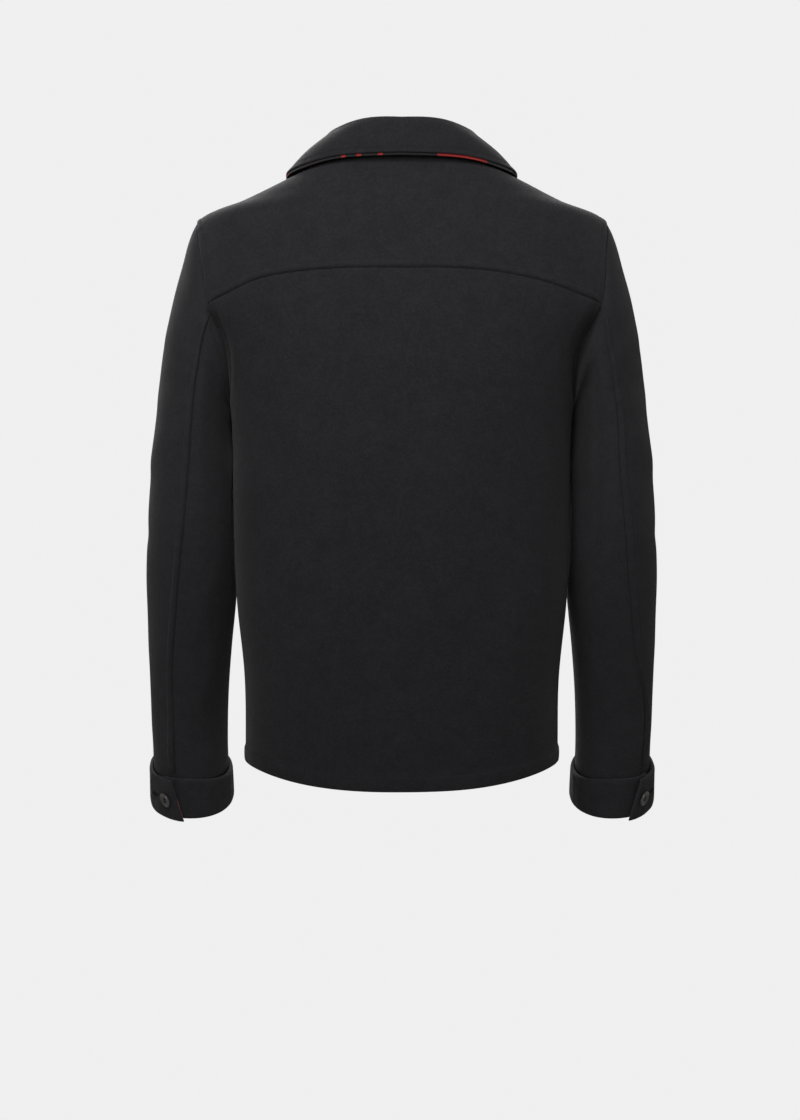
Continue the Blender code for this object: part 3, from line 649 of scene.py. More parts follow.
def joined(parts):
    points = np.concatenate([part[0] for part in parts])
    before = np.cumsum([0] + [len(part[0]) for part in parts[:-1]])
    return points, np.concatenate([part[1] + start for part, start in zip(parts, before)])


def sewn(name, parts):
    return meshFrom(name, *joined(parts), [thread])


def tubeOn(path, up, radius, sides=8, closed=False):
    # A ring of points carried along a path
    ahead = np.roll(path, -1, axis=0) - np.roll(path, 1, axis=0) if closed else np.gradient(path, axis=0)
    ahead = unit(ahead)
    side = unit(np.cross(ahead, up))
    over = np.cross(side, ahead)
    turn = turnsOf(sides)
    ring = side[:, None] * np.cos(turn)[:, None] + over[:, None] * np.sin(turn)[:, None]
    points = path[:, None] + ring * radius
    number = np.arange(len(path) * sides).reshape(len(path), sides)
    number = np.vstack([number, number[:1]]) if closed else number
    return points.reshape(-1, 3), facesRound(number, flipped=True)


hem = {"height": 0.0155, "raise": 0.0012, "edge": 0.0013}
hemRows = [0, 0.3, 0.7, 1.2, 1.8, 2.8, 4.2, 6, 8, 10, 12, 13.6, 14.6, 15.5, 16.4, 17.4, 19, 21.5, 25]
hemStitchRow = 13
bodyRows = np.arange(0.0285, levels["armpit"] - 0.0006, bodyStep)
bodyRows = np.concatenate([np.array(hemRows) / 1000, bodyRows, [levels["armpit"] - 0.00018]])


def hemForm(level, along):
    # The turned hem: raised and a little full below its stitches, with small puckers at them
    turned = 1 - smoothStep(level, hem["height"] - 0.0010, hem["height"] + 0.0030)
    full = 0.0005 * np.sin(math.pi * np.clip(level / hem["height"], 0, 1))
    dip = stitchDip(level - hem["height"]) * 1.3
    near = bump(level, hem["height"] - 0.003, 0.006)
    return hem["raise"] * turned + full - dip + puckers(along, near * 1.5)


def armRows(side, top):
    # Rows up the armhole, close together at the armpit and at the top
    tail = top + np.array([0.36, 0.26, 0.17, 0.10, 0.06, 0.03, 0])
    turns = np.concatenate([[15.78, 15.6, 15.4, 15.2], np.arange(15, top + 0.45, -1 / 6), tail])
    return armhole(side * turns, halfGap)[1]


def clothPanel(node, side, face, normal, fold, relief, draw, uv, seams, sheet, sinks=True):
    # A sheet of cloth off one surface: folds move both its faces, relief only the outer one
    walls = []
    for height in (fold + kept(relief) - draw, fold + draw - cloth["thickness"]):
        wall = mirrored(face + normal * height[..., None], side)
        walls.append(settled(wall) if sinks else wall)
    piece = wallFrom(node + "_panel", *walls, uv, [melton, check])
    outward = outwardOf(walls[0], mirrored(normal, side))
    lines = [stitchesOn(walls[0][seam], outward[seam]) for seam in seams]
    dressed(piece, node, sheet, [sewn(node + "_stitches", lines)] if lines else [])


backFolds = table(
    "x0 z0 x1 z1 width depth",
    [
        (0.082, -0.270, 0.086, -0.640, 0.030, 0.0026),
        (-0.070, -0.235, -0.020, -0.500, 0.034, 0.0030),
        (-0.115, -0.300, -0.085, -0.560, 0.030, -0.0026),
        (0.028, -0.300, 0.040, -0.600, 0.030, -0.0022),
        (0.150, -0.190, 0.128, -0.420, 0.020, -0.0022),
        (-0.150, -0.195, -0.135, -0.440, 0.020, -0.0024),
        (0.120, -0.420, 0.135, -0.640, 0.024, -0.0016),
        (-0.120, -0.480, -0.140, -0.660, 0.022, 0.0018),
        (-0.030, -0.560, -0.036, -0.690, 0.022, -0.0014),
    ],
)
backSheet = {"flat": (0.50, 0.60), "held": "hung", "rests_on": ["yoke"], "area": 0.260}


def buildBack():
    level = np.concatenate([bodyRows, armRows(1, yoke["backTurns"])])
    middle = np.full(level.shape, math.pi / 2)
    half, away, _ = spreadAcross(torso, panelEdge(level, 1), middle, level, nearEdge, np.array([0.0]))
    angle = np.concatenate([half, math.pi - half[:, -2::-1]], axis=1)
    away = np.concatenate([away, away[:, -2::-1]], axis=1)
    top = seamLevel(angle[-1]) - halfGap
    above = np.maximum(level - levels["armpit"], 0)[:, None]
    grid = levels["armpit"] + above * (top - levels["armpit"]) / (level[-1] - levels["armpit"])
    grid = np.where(above > 0, grid, level[:, None])
    face, normal = torso(angle, grid), torsoNormal(angle, grid)
    x, z = face[..., 0], face[..., 2]
    inArmhole = armholeShare(level)[:, None]
    below = top - grid
    rolled = 0.25 + inArmhole * (0.75 - foldedOver(face[:, 0])[:, None])
    relief = edgeRoll(away) * rolled + edgeRoll(below) + welt(away) * inArmhole * cloth["weltShare"]
    relief = relief + hemForm(grid, x)
    relief = relief + puckers(z, bump(away, 0.007, 0.006) * inArmhole) + puckers(x, bump(below, 0, 0.012))
    inside = smoothStep(away, 0, 0.05) * smoothStep(below, 0, 0.05)
    fold = (softFolds(x, z, backFolds) + slowWaves(x, z, 0.00035)) * inside
    for side, column in (("left", 0), ("right", -1)):
        wide = armholeDip[side]["torsoWidth"]
        share = np.exp(-((away / wide) ** 3)) * (x > 0 if side == "left" else x < 0)
        face[..., 1] += dipAt(face[:, column], side)[:, None] * share
    row = len(bodyRows) + weltFrom
    seams = [np.s_[hemStitchRow], np.s_[row:, stitchAt], np.s_[row:, -1 - stitchAt]]
    uv, draw = np.stack([x, grid], axis=-1), freeEdge(grid, hem["edge"])
    clothPanel("back", "left", face, normal, fold, relief, draw, uv, seams, backSheet)


yokeFolds = table(
    "x0 z0 x1 z1 width depth",
    [
        (0.150, -0.060, 0.110, -0.130, 0.022, -0.0014),
        (-0.120, -0.050, -0.160, -0.120, 0.024, 0.0016),
        (0.020, -0.060, 0.050, -0.120, 0.030, 0.0012),
        (-0.060, -0.050, -0.050, -0.125, 0.022, -0.0012),
    ],
)
yokeSheet = {"flat": (0.56, 0.24), "held": "draped", "area": 0.081}


def acrossBack(left):
    # The angles between the columns of the left arm and their mirror image
    return np.linspace(left[-1], math.pi - left[-1], yoke["backSteps"] + 1)[1:-1]


def yokeEdge(inset):
    # The outer edge moved in: from the front corner round the armhole to the back corner, then the seam
    grow = halfGap + inset
    frontAngle = armhole(-yoke["frontTurns"], halfGap)[0]
    turns = np.linspace(-yoke["frontTurns"] - 0.05, yoke["backTurns"] + 0.05, 600)
    angles, heights = armhole(turns, grow)
    first = turns[np.argmax(angles >= frontAngle - 1e-9)] if inset > 0 else -yoke["frontTurns"]
    over = heights - seamLevel(angles) - grow
    last = np.interp(0, -over[400:], turns[400:]) if inset > 0 else yoke["backTurns"]
    share = np.concatenate([[0, 0.0018, 0.004, 0.0075, 0.012], np.linspace(0.02, 1, yoke["armSteps"])])
    left, leftLevel = armhole(first + (last - first) * share, grow)
    back = acrossBack(left)
    angle = np.concatenate([left, back, math.pi - left[::-1]])
    return angle, np.concatenate([leftLevel, seamLevel(back) + grow, leftLevel[::-1]]), share


def buildYoke():
    insets = nearEdge[:-1]
    edgeAngles, edgeLevels, shares = map(np.stack, zip(*map(yokeEdge, insets)))
    share, corner = shares[0], edgeAngles[0, 0]
    left = corner + (yoke["neckCorner"] - corner) * share
    neck = np.concatenate([left, acrossBack(left), math.pi - left[::-1]])
    rest = np.linspace(0, 1, yoke["neckRows"] + 1)[1:, None]
    angle = np.concatenate([edgeAngles, edgeAngles[-1] + (neck - edgeAngles[-1]) * rest])
    grid = np.concatenate([edgeLevels, edgeLevels[-1] + (levels["neck"] - edgeLevels[-1]) * rest])
    away = np.concatenate([insets, insets[-1] + rest[:, 0] * 0.12])[:, None] + 0 * angle
    face, normal = torso(angle, grid), torsoNormal(angle, grid)
    x, z = face[..., 0], face[..., 2]
    run = runAlong(face)
    fromFront = np.minimum(run, run[:, -1:] - run)
    along = np.abs(x) + 0 * away
    strong = 0.55 + 0.25 * smoothStep(-z, 0.110, 0.130) * (1 - smoothStep(along, 0.196, 0.206))
    rolled = 1 - foldedOver(face[0]) * smoothStep(np.abs(x[0]), 0.197, 0.207)
    relief = edgeRoll(away) * rolled + welt(away) * smoothStep(fromFront, 0, 0.006) * strong
    relief = relief + edgeRoll(fromFront) + puckers(run, bump(away, 0.006, 0.008))
    inside = smoothStep(away, 0.006, 0.04)
    fold = (softFolds(x, z, yokeFolds) * (z > -0.2) + slowWaves(x, z, 0.0003)) * inside
    reach = len(share) + 6  # the armhole's columns and a few past its corner
    for side, columns in (("left", slice(0, reach)), ("right", slice(-reach, None))):
        wide = armholeDip[side]["torsoWidth"]
        face[:, columns, 1] += dipAt(face[0, columns], side)[None] * bump(away[:, columns], 0, wide)
    uv = np.stack([x, face[..., 1] + grid], axis=-1)
    clothPanel("yoke", "left", face, normal, fold, relief, 0, uv, [np.s_[stitchAt, 4:-4]], yokeSheet)


front = {
    "overlap": 0.020,
    "underStep": 0.0028,
    "underRamp": (0.0215, 0.036),
    "edgeStitch": 0.0062,
    "edge": 0.0012,
}
frontFolds = table(
    "x0 z0 x1 z1 width depth",
    [
        (0.150, -0.200, 0.095, -0.400, 0.028, 0.0026),
        (0.085, -0.180, 0.070, -0.420, 0.030, -0.0024),
        (0.130, -0.440, 0.110, -0.650, 0.030, -0.0022),
        (0.060, -0.420, 0.070, -0.660, 0.026, 0.0020),
        (0.120, -0.120, 0.080, -0.200, 0.022, 0.0014),
    ],
)
frontSheet = {"flat": (0.32, 0.72), "held": "hung", "rests_on": ["yoke"], "area": 0.176}


def buildFront(side):
    armLevel = armRows(-1, yoke["frontTurns"])
    corner = armLevel[-1]
    shoulder = np.arange(0.0062, levels["neck"] - corner - 0.002, bodyStep)
    rows = corner + np.concatenate([nearEdge[1:6], shoulder])
    level = np.concatenate([bodyRows, armLevel, rows, [levels["neck"]]])
    seamAngle = armhole(-yoke["frontTurns"], halfGap)[0] - yoke["frontGap"]
    edge = np.where(level > corner - 1e-6, seamAngle, panelEdge(level, -1))
    last = frontAngleForX(level, -front["overlap"])
    angle, away, toEdge = spreadAcross(torso, edge, last, level, nearEdge, nearEdge)
    grid = np.broadcast_to(level[:, None], angle.shape)
    face, normal = torso(angle, grid), torsoNormal(angle, grid)
    x, z = face[..., 0], face[..., 2]
    aboveCorner = smoothStep(level, corner - 0.004, corner + 0.004)
    inArmhole = armholeShare(level) * (1 - aboveCorner)
    sunk = 1 - smoothStep(x, *front["underRamp"]) if side == "right" else 0 * x
    shown = np.maximum(inArmhole, aboveCorner)
    rolled = (0.25 + shown * 0.75 - inArmhole * foldedOver(face[:, 0]))[:, None]
    inArmhole = inArmhole[:, None]
    relief = edgeRoll(away) * rolled + welt(away) * inArmhole * cloth["weltShare"]
    relief = relief + hemForm(grid, x) * (1 - sunk) + puckers(z, bump(away, 0.007, 0.006) * inArmhole)
    relief = relief - stitchDip(toEdge - front["edgeStitch"]) + puckers(z, bump(toEdge, 0.004, 0.004))
    inside = smoothStep(away, 0, 0.05) * smoothStep(x, 0.03, 0.07)
    turned = 1 if side == "left" else 0.8
    fold = softFolds(x + 0.008 * (turned - 1), z, frontFolds) * turned + slowWaves(x * turned, z, 0.00035)
    fold = fold * inside - front["underStep"] * sunk
    draw = np.maximum(freeEdge(grid, hem["edge"]), freeEdge(toEdge, front["edge"]))
    uv = np.stack([x + face[..., 1] * 0.5, grid], axis=-1)
    face[..., 1] += dipAt(face[:, 0], side)[:, None] * bump(away, 0, armholeDip[side]["torsoWidth"])
    first = len(bodyRows)
    alongArm = np.s_[first + weltFrom : first + len(armLevel), stitchAt]
    seams = [np.s_[hemStitchRow], alongArm, np.s_[2:-2, -1 - edgeStitchAt]]
    clothPanel("front_" + side, side, face, normal, fold, relief, draw, uv, seams, frontSheet, sinks=False)


sleeveRings = table(
    "step outX outZ inX inZ yMid halfBack halfFront tilt square",
    [
        (0, 0.2230, -0.0785, 0.1875, -0.282, -0.0650, 0.0690, 0.0850, 0, 2.0),
        (1, 0.2300, -0.0920, 0.1870, -0.283, -0.0660, 0.0720, 0.0845, 0, 2.0),
        (2, 0.2388, -0.1190, 0.1866, -0.287, -0.0690, 0.0740, 0.0830, 0, 2.0),
        (3, 0.2498, -0.1610, 0.1862, -0.295, -0.0730, 0.0755, 0.0815, 0, 2.1),
        (4, 0.2602, -0.2150, 0.1868, -0.307, -0.0780, 0.0765, 0.0800, 0, 2.2),
        (5, 0.2685, -0.2750, 0.1850, -0.326, -0.0840, 0.0760, 0.0775, 1, 2.2),
        (6, 0.2755, -0.3350, 0.1800, -0.357, -0.0880, 0.0735, 0.0740, 4, 2.2),
        (7, 0.2805, -0.3920, 0.1790, -0.398, -0.0930, 0.0695, 0.0695, 9, 2.2),
        (8, 0.2835, -0.4400, 0.1810, -0.440, -0.1020, 0.0640, 0.0640, 15, 2.2),
        (9, 0.2850, -0.4930, 0.1850, -0.493, -0.1190, 0.0585, 0.0585, 19, 2.2),
        (10, 0.2852, -0.5480, 0.1915, -0.548, -0.1390, 0.0540, 0.0540, 21, 2.2),
        (11, 0.2835, -0.6020, 0.1965, -0.602, -0.1600, 0.0500, 0.0500, 22, 2.1),
        (12, 0.2845, -0.6560, 0.1990, -0.656, -0.1815, 0.0470, 0.0470, 22, 2.1),
        (13, 0.2850, -0.6980, 0.1990, -0.698, -0.1985, 0.0460, 0.0460, 22, 2.1),
    ],
)
sleeves = {
    "frontSeamTurns": 19,
    "clearance": (-0.0007, 0.0028),
    "blendSteps": 3,
    "armRadius": 0.055,
    "ventStep": 11.35,
    "stitchEnd": 12.35,
    "end": 12.75,
    "backSeam": {
        "left": table("step angle", [(0, 86), (4, 91), (5, 90), (7, 84), (9, 76), (11, 69), (13, 71)]),
        "right": table(
            "step angle",
            [(0, 82), (4, 84), (5, 82), (6, 81), (7, 77), (8.5, 72), (10, 61), (11, 41), (12, 41), (13, 46)],
        ),
    },
    "hollow": {"left": -0.004, "right": -0.016},
    "weltShare": 1.3,
}
# Across a sleeve: metres round from its outer line. Down it: a fifth of the step in sleeveRings
sleeveFolds = table(
    "x0 z0 x1 z1 width depth",
    [
        (0.070, 0.64, 0.020, 0.78, 0.030, 0.0011),
        (0.090, 0.80, 0.030, 0.95, 0.024, -0.0014),
        (-0.060, 0.75, -0.010, 1.00, 0.024, 0.0020),
        (0.070, 1.05, 0.000, 1.25, 0.024, 0.0016),
        (-0.050, 1.30, 0.010, 1.55, 0.022, -0.0015),
        (0.060, 1.50, 0.030, 1.90, 0.024, -0.0014),
        (0.020, 2.10, 0.040, 2.45, 0.020, 0.0014),
        (-0.030, 2.00, -0.045, 2.40, 0.020, -0.0014),
        (0.118, 1.62, 0.098, 1.86, 0.014, 0.0017),
        (0.092, 1.78, 0.112, 2.02, 0.012, -0.0015),
        (0.120, 2.00, 0.100, 2.30, 0.012, 0.0016),
        (0.098, 2.20, 0.106, 2.42, 0.010, -0.0012),
    ],
)
sleeveSheets = {
    "top": {"flat": (0.31, 0.63), "held": "hung", "rests_on": ["yoke"], "area": 0.122},
    "under": {"flat": (0.20, 0.56), "held": "hung", "rests_on": ["back"], "area": 0.066},
}


def torsoSideX(y, z):
    level = np.clip(z - torsoRings["zSide"][0], 0, levels["armpit"])
    at = ringAt(level)
    reach = np.where(y > at["ySide"], at["yBack"] - at["ySide"], at["ySide"] - at["yFront"])
    share = np.clip(np.abs(y - at["ySide"]) / reach, 0, 1)
    return at["halfWidth"] * (1 - share ** at["square"]) ** (1 / at["square"])


def sleeveSection(angle, step):
    at = curves(sleeveRings, "step", step)
    power = 2 / at["square"]
    out = (1 + signedPower(np.cos(angle), power)) / 2
    depth = np.where(np.sin(angle) > 0, at["halfBack"], at["halfFront"]) * signedPower(np.sin(angle), power)
    tilt = np.radians(at["tilt"])
    x = at["inX"] + (at["outX"] - at["inX"]) * out
    z = at["inZ"] + (at["outZ"] - at["inZ"]) * out - depth * np.sin(tilt)
    return np.stack([x, at["yMid"] + depth * np.cos(tilt), z], axis=-1)


def sleeve(angle, step):
    # A slanted oval round the arm, drawn to the armhole at its top and kept clear of the torso
    angle, step = np.broadcast_arrays(np.asarray(angle, float), np.asarray(step, float))
    points = sleeveSection(angle, step)
    around = (angle + math.pi) % (2 * math.pi) - math.pi
    loop = torso(*armhole(around / armholeOval["turn"], -halfGap))
    fade = np.clip(1 - step / sleeves["blendSteps"], 0, 1)[..., None] ** 2
    points = points + (loop - sleeveSection(angle, np.zeros_like(step))) * fade
    close, far = sleeves["clearance"]
    clear = (close + (far - close) * smoothStep(step, 5, 7)) * np.clip(step, 0, 1)
    low = points[..., 2] < curve(torsoRings, "level", "zSide", levels["armpit"]) + 0.004
    least = torsoSideX(points[..., 1], points[..., 2]) + clear
    soft = (points[..., 0] + least + np.sqrt((points[..., 0] - least) ** 2 + 0.0012**2)) / 2
    points[..., 0] = np.where(low & (step > 0.5), soft, points[..., 0])
    return points


def sleeveNormal(angle, step):
    turn, rise = 0.03, 0.1
    roundIt = sleeve(angle + turn, step) - sleeve(angle - turn, step)
    downIt = sleeve(angle, np.minimum(step + rise, 13)) - sleeve(angle, np.maximum(step - rise, 0))
    made = unit(np.cross(downIt, roundIt))
    around = (angle + math.pi) % (2 * math.pi) - math.pi
    seam = torsoNormal(*armhole(around / armholeOval["turn"], -halfGap))
    leaving = (unit(downIt) * seam).sum(axis=-1)
    mitre = (np.clip(1 - step / 0.6, 0, 1) * (1 - smoothStep(leaving, -0.15, 0.15)))[..., None]
    return unit(made * (1 - mitre) + seam * mitre)


def buildSleeve(side):
    head, wrist = [0, 0.02, 0.05, 0.09, 0.14], [12.42, 12.5, 12.58, 12.66, sleeves["end"]]
    steps = np.concatenate([head, np.arange(0.2, 4, 0.095), np.arange(4, 12.4, 0.066), wrist])
    seam = np.radians(curve(sleeves["backSeam"][side], "step", "angle", steps))
    frontSeam = np.full(steps.shape, sleeves["frontSeamTurns"] * armholeOval["turn"])
    gap = halfGap / sleeves["armRadius"]
    plan = {"top": (frontSeam - 2 * math.pi + gap, seam - gap), "under": (seam + gap, frontSeam - gap)}
    down = runAlong(sleeveSection(0 * steps, steps))
    vent = smoothStep(steps, sleeves["ventStep"] - 0.1, sleeves["ventStep"] + 0.25)[:, None]
    for part, (start, end) in plan.items():
        angle, fromStart, fromEnd = spreadAcross(sleeve, start, end, steps, nearEdge, nearEdge)
        grid = np.broadcast_to(steps[:, None], angle.shape)
        face, normal = sleeve(angle, grid), sleeveNormal(angle, grid)
        fromHead = np.broadcast_to(down[:, None], angle.shape)
        cuffFade = (1 - smoothStep(grid, 12.3, 12.5)) * smoothStep(fromHead, 0.002, 0.02)
        hanging = -0.2 - 0.5 * smoothStep(grid, 7, 8.5)
        free = smoothStep(np.cos(angle), hanging, hanging + 0.4)
        free = free * (1 - smoothStep(grid, 11.6, 12.4)) * smoothStep(grid, 0.4, 2)
        run = angle * sleeves["armRadius"]
        fold = softFolds(run, grid / 5, sleeveFolds) + slowWaves(run * 1.1 + 3, grid * 0.05, 0.00035)
        fold = fold * free
        rolled = 1 - foldedOver(face[0])
        relief = edgeRoll(fromStart) + edgeRoll(fromEnd) + edgeRoll(fromHead * 1.4) * rolled
        if part == "top":
            relief = relief + welt(fromEnd) * cuffFade * sleeves["weltShare"]
            relief = relief + puckers(fromHead, bump(fromEnd, 0.006, 0.006)) * cuffFade
            relief = relief + vent * cuffFade * 0.0012 * bump(fromEnd, 0, 0.010)
            relief = relief + vent * cloth["roll"] * 0.7 * bump(fromEnd, 0, cloth["rollWidth"])
        else:
            relief = relief - vent * 0.0006 * bump(fromStart, 0, 0.006)
        uv = np.stack([run, fromHead], axis=-1)
        # The inner side sinks in beside the body, most on the right
        sunk = smoothStep(-np.cos(angle), 0.15, 0.55) * smoothStep(np.sin(angle), 0, 0.5)
        sunk = sunk * smoothStep(grid, 0.8, 3) * (1 - smoothStep(grid, 6, 9))
        face[..., 1] += sleeves["hollow"][side] * sunk
        face[..., 1] += dipAt(face[0], side)[None] * bump(fromHead, 0, armholeDip[side]["sleeveWidth"])
        last = int(np.searchsorted(steps, sleeves["stitchEnd"]))
        seams = [np.s_[3:last, -1 - stitchAt]] if part == "top" else []
        node = "sleeve_" + side + "_" + part
        clothPanel(node, side, face, normal, fold, relief, 0, uv, seams, sleeveSheets[part])


cuffs = {
    "start": 0.027,
    "height": 0.0515,
    "wall": 0.0040,
    "underEnd": 0.0024,
    "gap": 0.0007,
    "ease": 0.0005,
    "lap": math.radians(27),
    "ramp": math.radians(50),
    "round": 0.0052,
    "columns": 190,
    "sideDrop": {"inner": 0.0105, "outer": 0.0040},
    "tabLift": {"reach": 0.026, "height": 0.0042},
    "buttonTilt": (0.62, -0.12, -0.18),
    "redFrom": 0.52,  # share of the height below which the left tab's rim shows the check
    "slotRadius": 0.047,
    "tab": {
        "left": {"top": 70, "bottom": 84, "button": 62},
        "right": {"top": 56, "bottom": 72, "button": 53},
    },
    "sheet": {"flat": (0.36, 0.056), "held": "folded", "rests_on": [], "area": 0.0185},
}


def cuff(angle, along, outward):
    # A point at an angle round the wrist, a distance down the arm and outward of the sleeve
    above = {name: sleeveRings[name][-2] for name in sleeveRings}
    last = {name: sleeveRings[name][-1] for name in sleeveRings}
    tilt = math.radians(last["tilt"])
    centre = np.array([(last["inX"] + last["outX"]) / 2, above["yMid"], above["inZ"]])
    half = np.array([(last["outX"] - last["inX"]) / 2, last["halfBack"] + cuffs["ease"]])
    power = 2 / last["square"]
    side = half[0] * signedPower(np.cos(angle), power) + np.cos(angle) * outward
    depth = half[1] * signedPower(np.sin(angle), power) + np.sin(angle) * outward
    back = np.array([0, math.cos(tilt), -math.sin(tilt)])
    down = np.array([0, -math.sin(tilt), -math.cos(tilt)])
    return centre + side[..., None] * np.array([1, 0, 0]) + depth[..., None] * back + along[..., None] * down


bandRadius = sleeves["armRadius"] * 0.82
wholeTurn = 2 * math.pi + cuffs["lap"]
cuffLift = cuffs["gap"] + cuffs["underEnd"] + cuffs["gap"]


def tabEndAngle(tab):
    return math.radians((tab["top"] + tab["bottom"]) / 2)


def tabRise(fromTab):
    # The tab's end stands a little off the band
    lift = cuffs["tabLift"]
    return lift["height"] * smoothStep(1 - fromTab / lift["reach"], 0, 1.15)


def buildCuff(side):
    tab = cuffs["tab"][side]
    edge = np.array([0, 0.25, 0.7, 1.3, 2.1, 3.1, 4.2, 5.4]) / 1000
    inBetween = np.linspace(0.0072, cuffs["height"] - 0.0072, 18)
    down = np.concatenate([edge, inBetween, cuffs["height"] - edge[::-1]])
    slant = np.radians(tab["top"] + (tab["bottom"] - tab["top"]) * down / cuffs["height"])
    tabEnd = tabEndAngle(tab)
    tail = 1 - nearEdge[:9][::-1] / bandRadius / wholeTurn
    share = np.concatenate([np.linspace(0, tail[0] - 0.006, cuffs["columns"]), tail])
    turned = wholeTurn * share
    nearEnd = np.clip((share - 1) * 13 + 1, 0, 1)
    turned = turned + (slant - tabEnd)[:, None] * nearEnd
    angle = turned + tabEnd - cuffs["lap"]
    lapFrom = 2 * math.pi
    lifted = smoothStep(turned, lapFrom - cuffs["ramp"], lapFrom - math.radians(4))
    thin = 1 - smoothStep(turned, cuffs["lap"] * 1.3, cuffs["lap"] * 1.3 + cuffs["ramp"])
    full = cuffs["wall"] - (cuffs["wall"] - cuffs["underEnd"]) * thin
    base = cuffs["gap"] + lifted * (cuffs["underEnd"] + cuffs["gap"])
    outerSide, innerSide = [np.clip(way * np.cos(angle), 0, 1) ** 1.5 for way in (1, -1)]
    lower = cuffs["sideDrop"]["outer"] * outerSide + cuffs["sideDrop"]["inner"] * innerSide
    along = cuffs["start"] + down[:, None] + lower * (1 - down[:, None] / cuffs["height"])
    fromEdge = np.minimum(down, cuffs["height"] - down)[:, None]
    fromTab = (1 - share)[None, :] * wholeTurn * bandRadius
    reach = np.minimum(fromEdge, fromTab * 1.3)
    draw = 1 - 0.62 * (1 - np.sqrt(1 - (1 - np.clip(reach / cuffs["round"], 0, 1)) ** 2))
    run = angle * bandRadius
    base = base + tabRise(fromTab)
    soft = 0.00035 * np.sin(run * 210 + down[:, None] * 60) + 0.00025 * np.sin(run * 390 + 1.7)
    soft = soft * np.clip(reach / 0.008, 0, 1)
    innerFace = cuff(angle, along, base)
    outerFace = cuff(angle, along, base + (full + soft) * draw)
    uv = np.stack([sum(checkLook["band"]) / 2 + fromTab + 0 * angle, along], axis=-1)
    redRim = 2 * (down[1:] > cuffs["redFrom"] * cuffs["height"]) if side == "left" else 0
    node = "cuff_" + side
    walls = [mirrored(face, side) for face in (outerFace, innerFace)]
    piece = wallFrom(node + "_band", *walls, uv, [melton, melton, check], (0, 0, 0, redRim))
    dressed(piece, node, cuffs["sheet"] | {"rests_on": ["sleeve_" + side + "_top"]})


collar = {
    "standGap": 0.0013,
    "gap": 0.0004,
    "under": 0.0014,
    "peek": 0.0025,
    "crown": 0.0022,
    "halfColumns": 120,
    "length": 0.082,  # from seam to edge
    "fallReach": 0.76,
    "edge": 0.0011,
    "shape": table(
        "angle stand lean edgeAngle edgeLevel edgeLift",
        [
            (-87, 0.0200, 0.0000, -64, 0.6180, 0.0070),
            (-60, 0.0230, -0.0010, -50, 0.6530, 0.0070),
            (-30, 0.0260, -0.0020, -28, 0.6820, 0.0070),
            (0, 0.0275, -0.0030, 1, 0.6965, 0.0072),
            (30, 0.0285, -0.0030, 32, 0.6990, 0.0080),
            (60, 0.0303, -0.0020, 61, 0.7030, 0.0110),
            (90, 0.0285, -0.0010, 90, 0.7060, 0.0130),
        ],
    ),
    "roll": table(
        "reach height drop lean out",
        [
            (0.00, 0.00, 0.0000, 0.0, 0.0000),
            (0.16, 0.45, 0.0000, 0.5, 0.0000),
            (0.32, 1.00, 0.0045, 1.0, 0.0000),
            (0.42, 1.00, 0.0006, 1.0, 0.0050),
            (0.52, 1.00, 0.0055, 1.0, 0.0112),
        ],
    ),
    "sheet": {"flat": (0.52, 0.085), "held": "folded", "rests_on": ["yoke"], "area": 0.040},
    "underSheet": {"flat": (0.50, 0.045), "held": "folded", "rests_on": ["collar"], "area": 0.020},
}


def collarKnots(position):
    # The points that each column of the collar passes through: seam, stand, roll, fall and edge
    at = curves(collar["shape"], "angle", np.degrees(position))
    top = np.full(position.shape, levels["neck"])
    out = torsoNormal(position, top - 0.002) * np.array([1, 1, 0])
    out, up = unit(out), np.array([0, 0, 1.0])
    seam = torso(position, top) - out * cloth["thickness"] + up * collar["standGap"]
    place = np.radians(at["edgeAngle"]), at["edgeLevel"]
    edge = torso(*place) + torsoNormal(*place) * at["edgeLift"][..., None]
    roll, points = collar["roll"], []
    for height, drop, lean, way in zip(roll["height"], roll["drop"], roll["lean"], roll["out"]):
        rise = at["stand"][..., None] * height - drop
        points.append(seam + up * rise + out * (at["lean"][..., None] * lean + way))
    points.append((points[-1] + edge) / 2 + unit(out * 0.5 + up * 0.85) * collar["crown"])
    return np.stack([*points, edge]), np.array([*roll["reach"], collar["fallReach"], 1])


def collarGrid(reaches):
    # Cubic through the knots at every reach, for the left half, then its mirror image
    position = np.radians(np.linspace(-87, 90, collar["halfColumns"]))
    points, knots = collarKnots(position)
    half = cubic(knots, points, reaches)
    return np.concatenate([half, half[:, -2::-1] * np.array([-1, 1, 1])], axis=1)


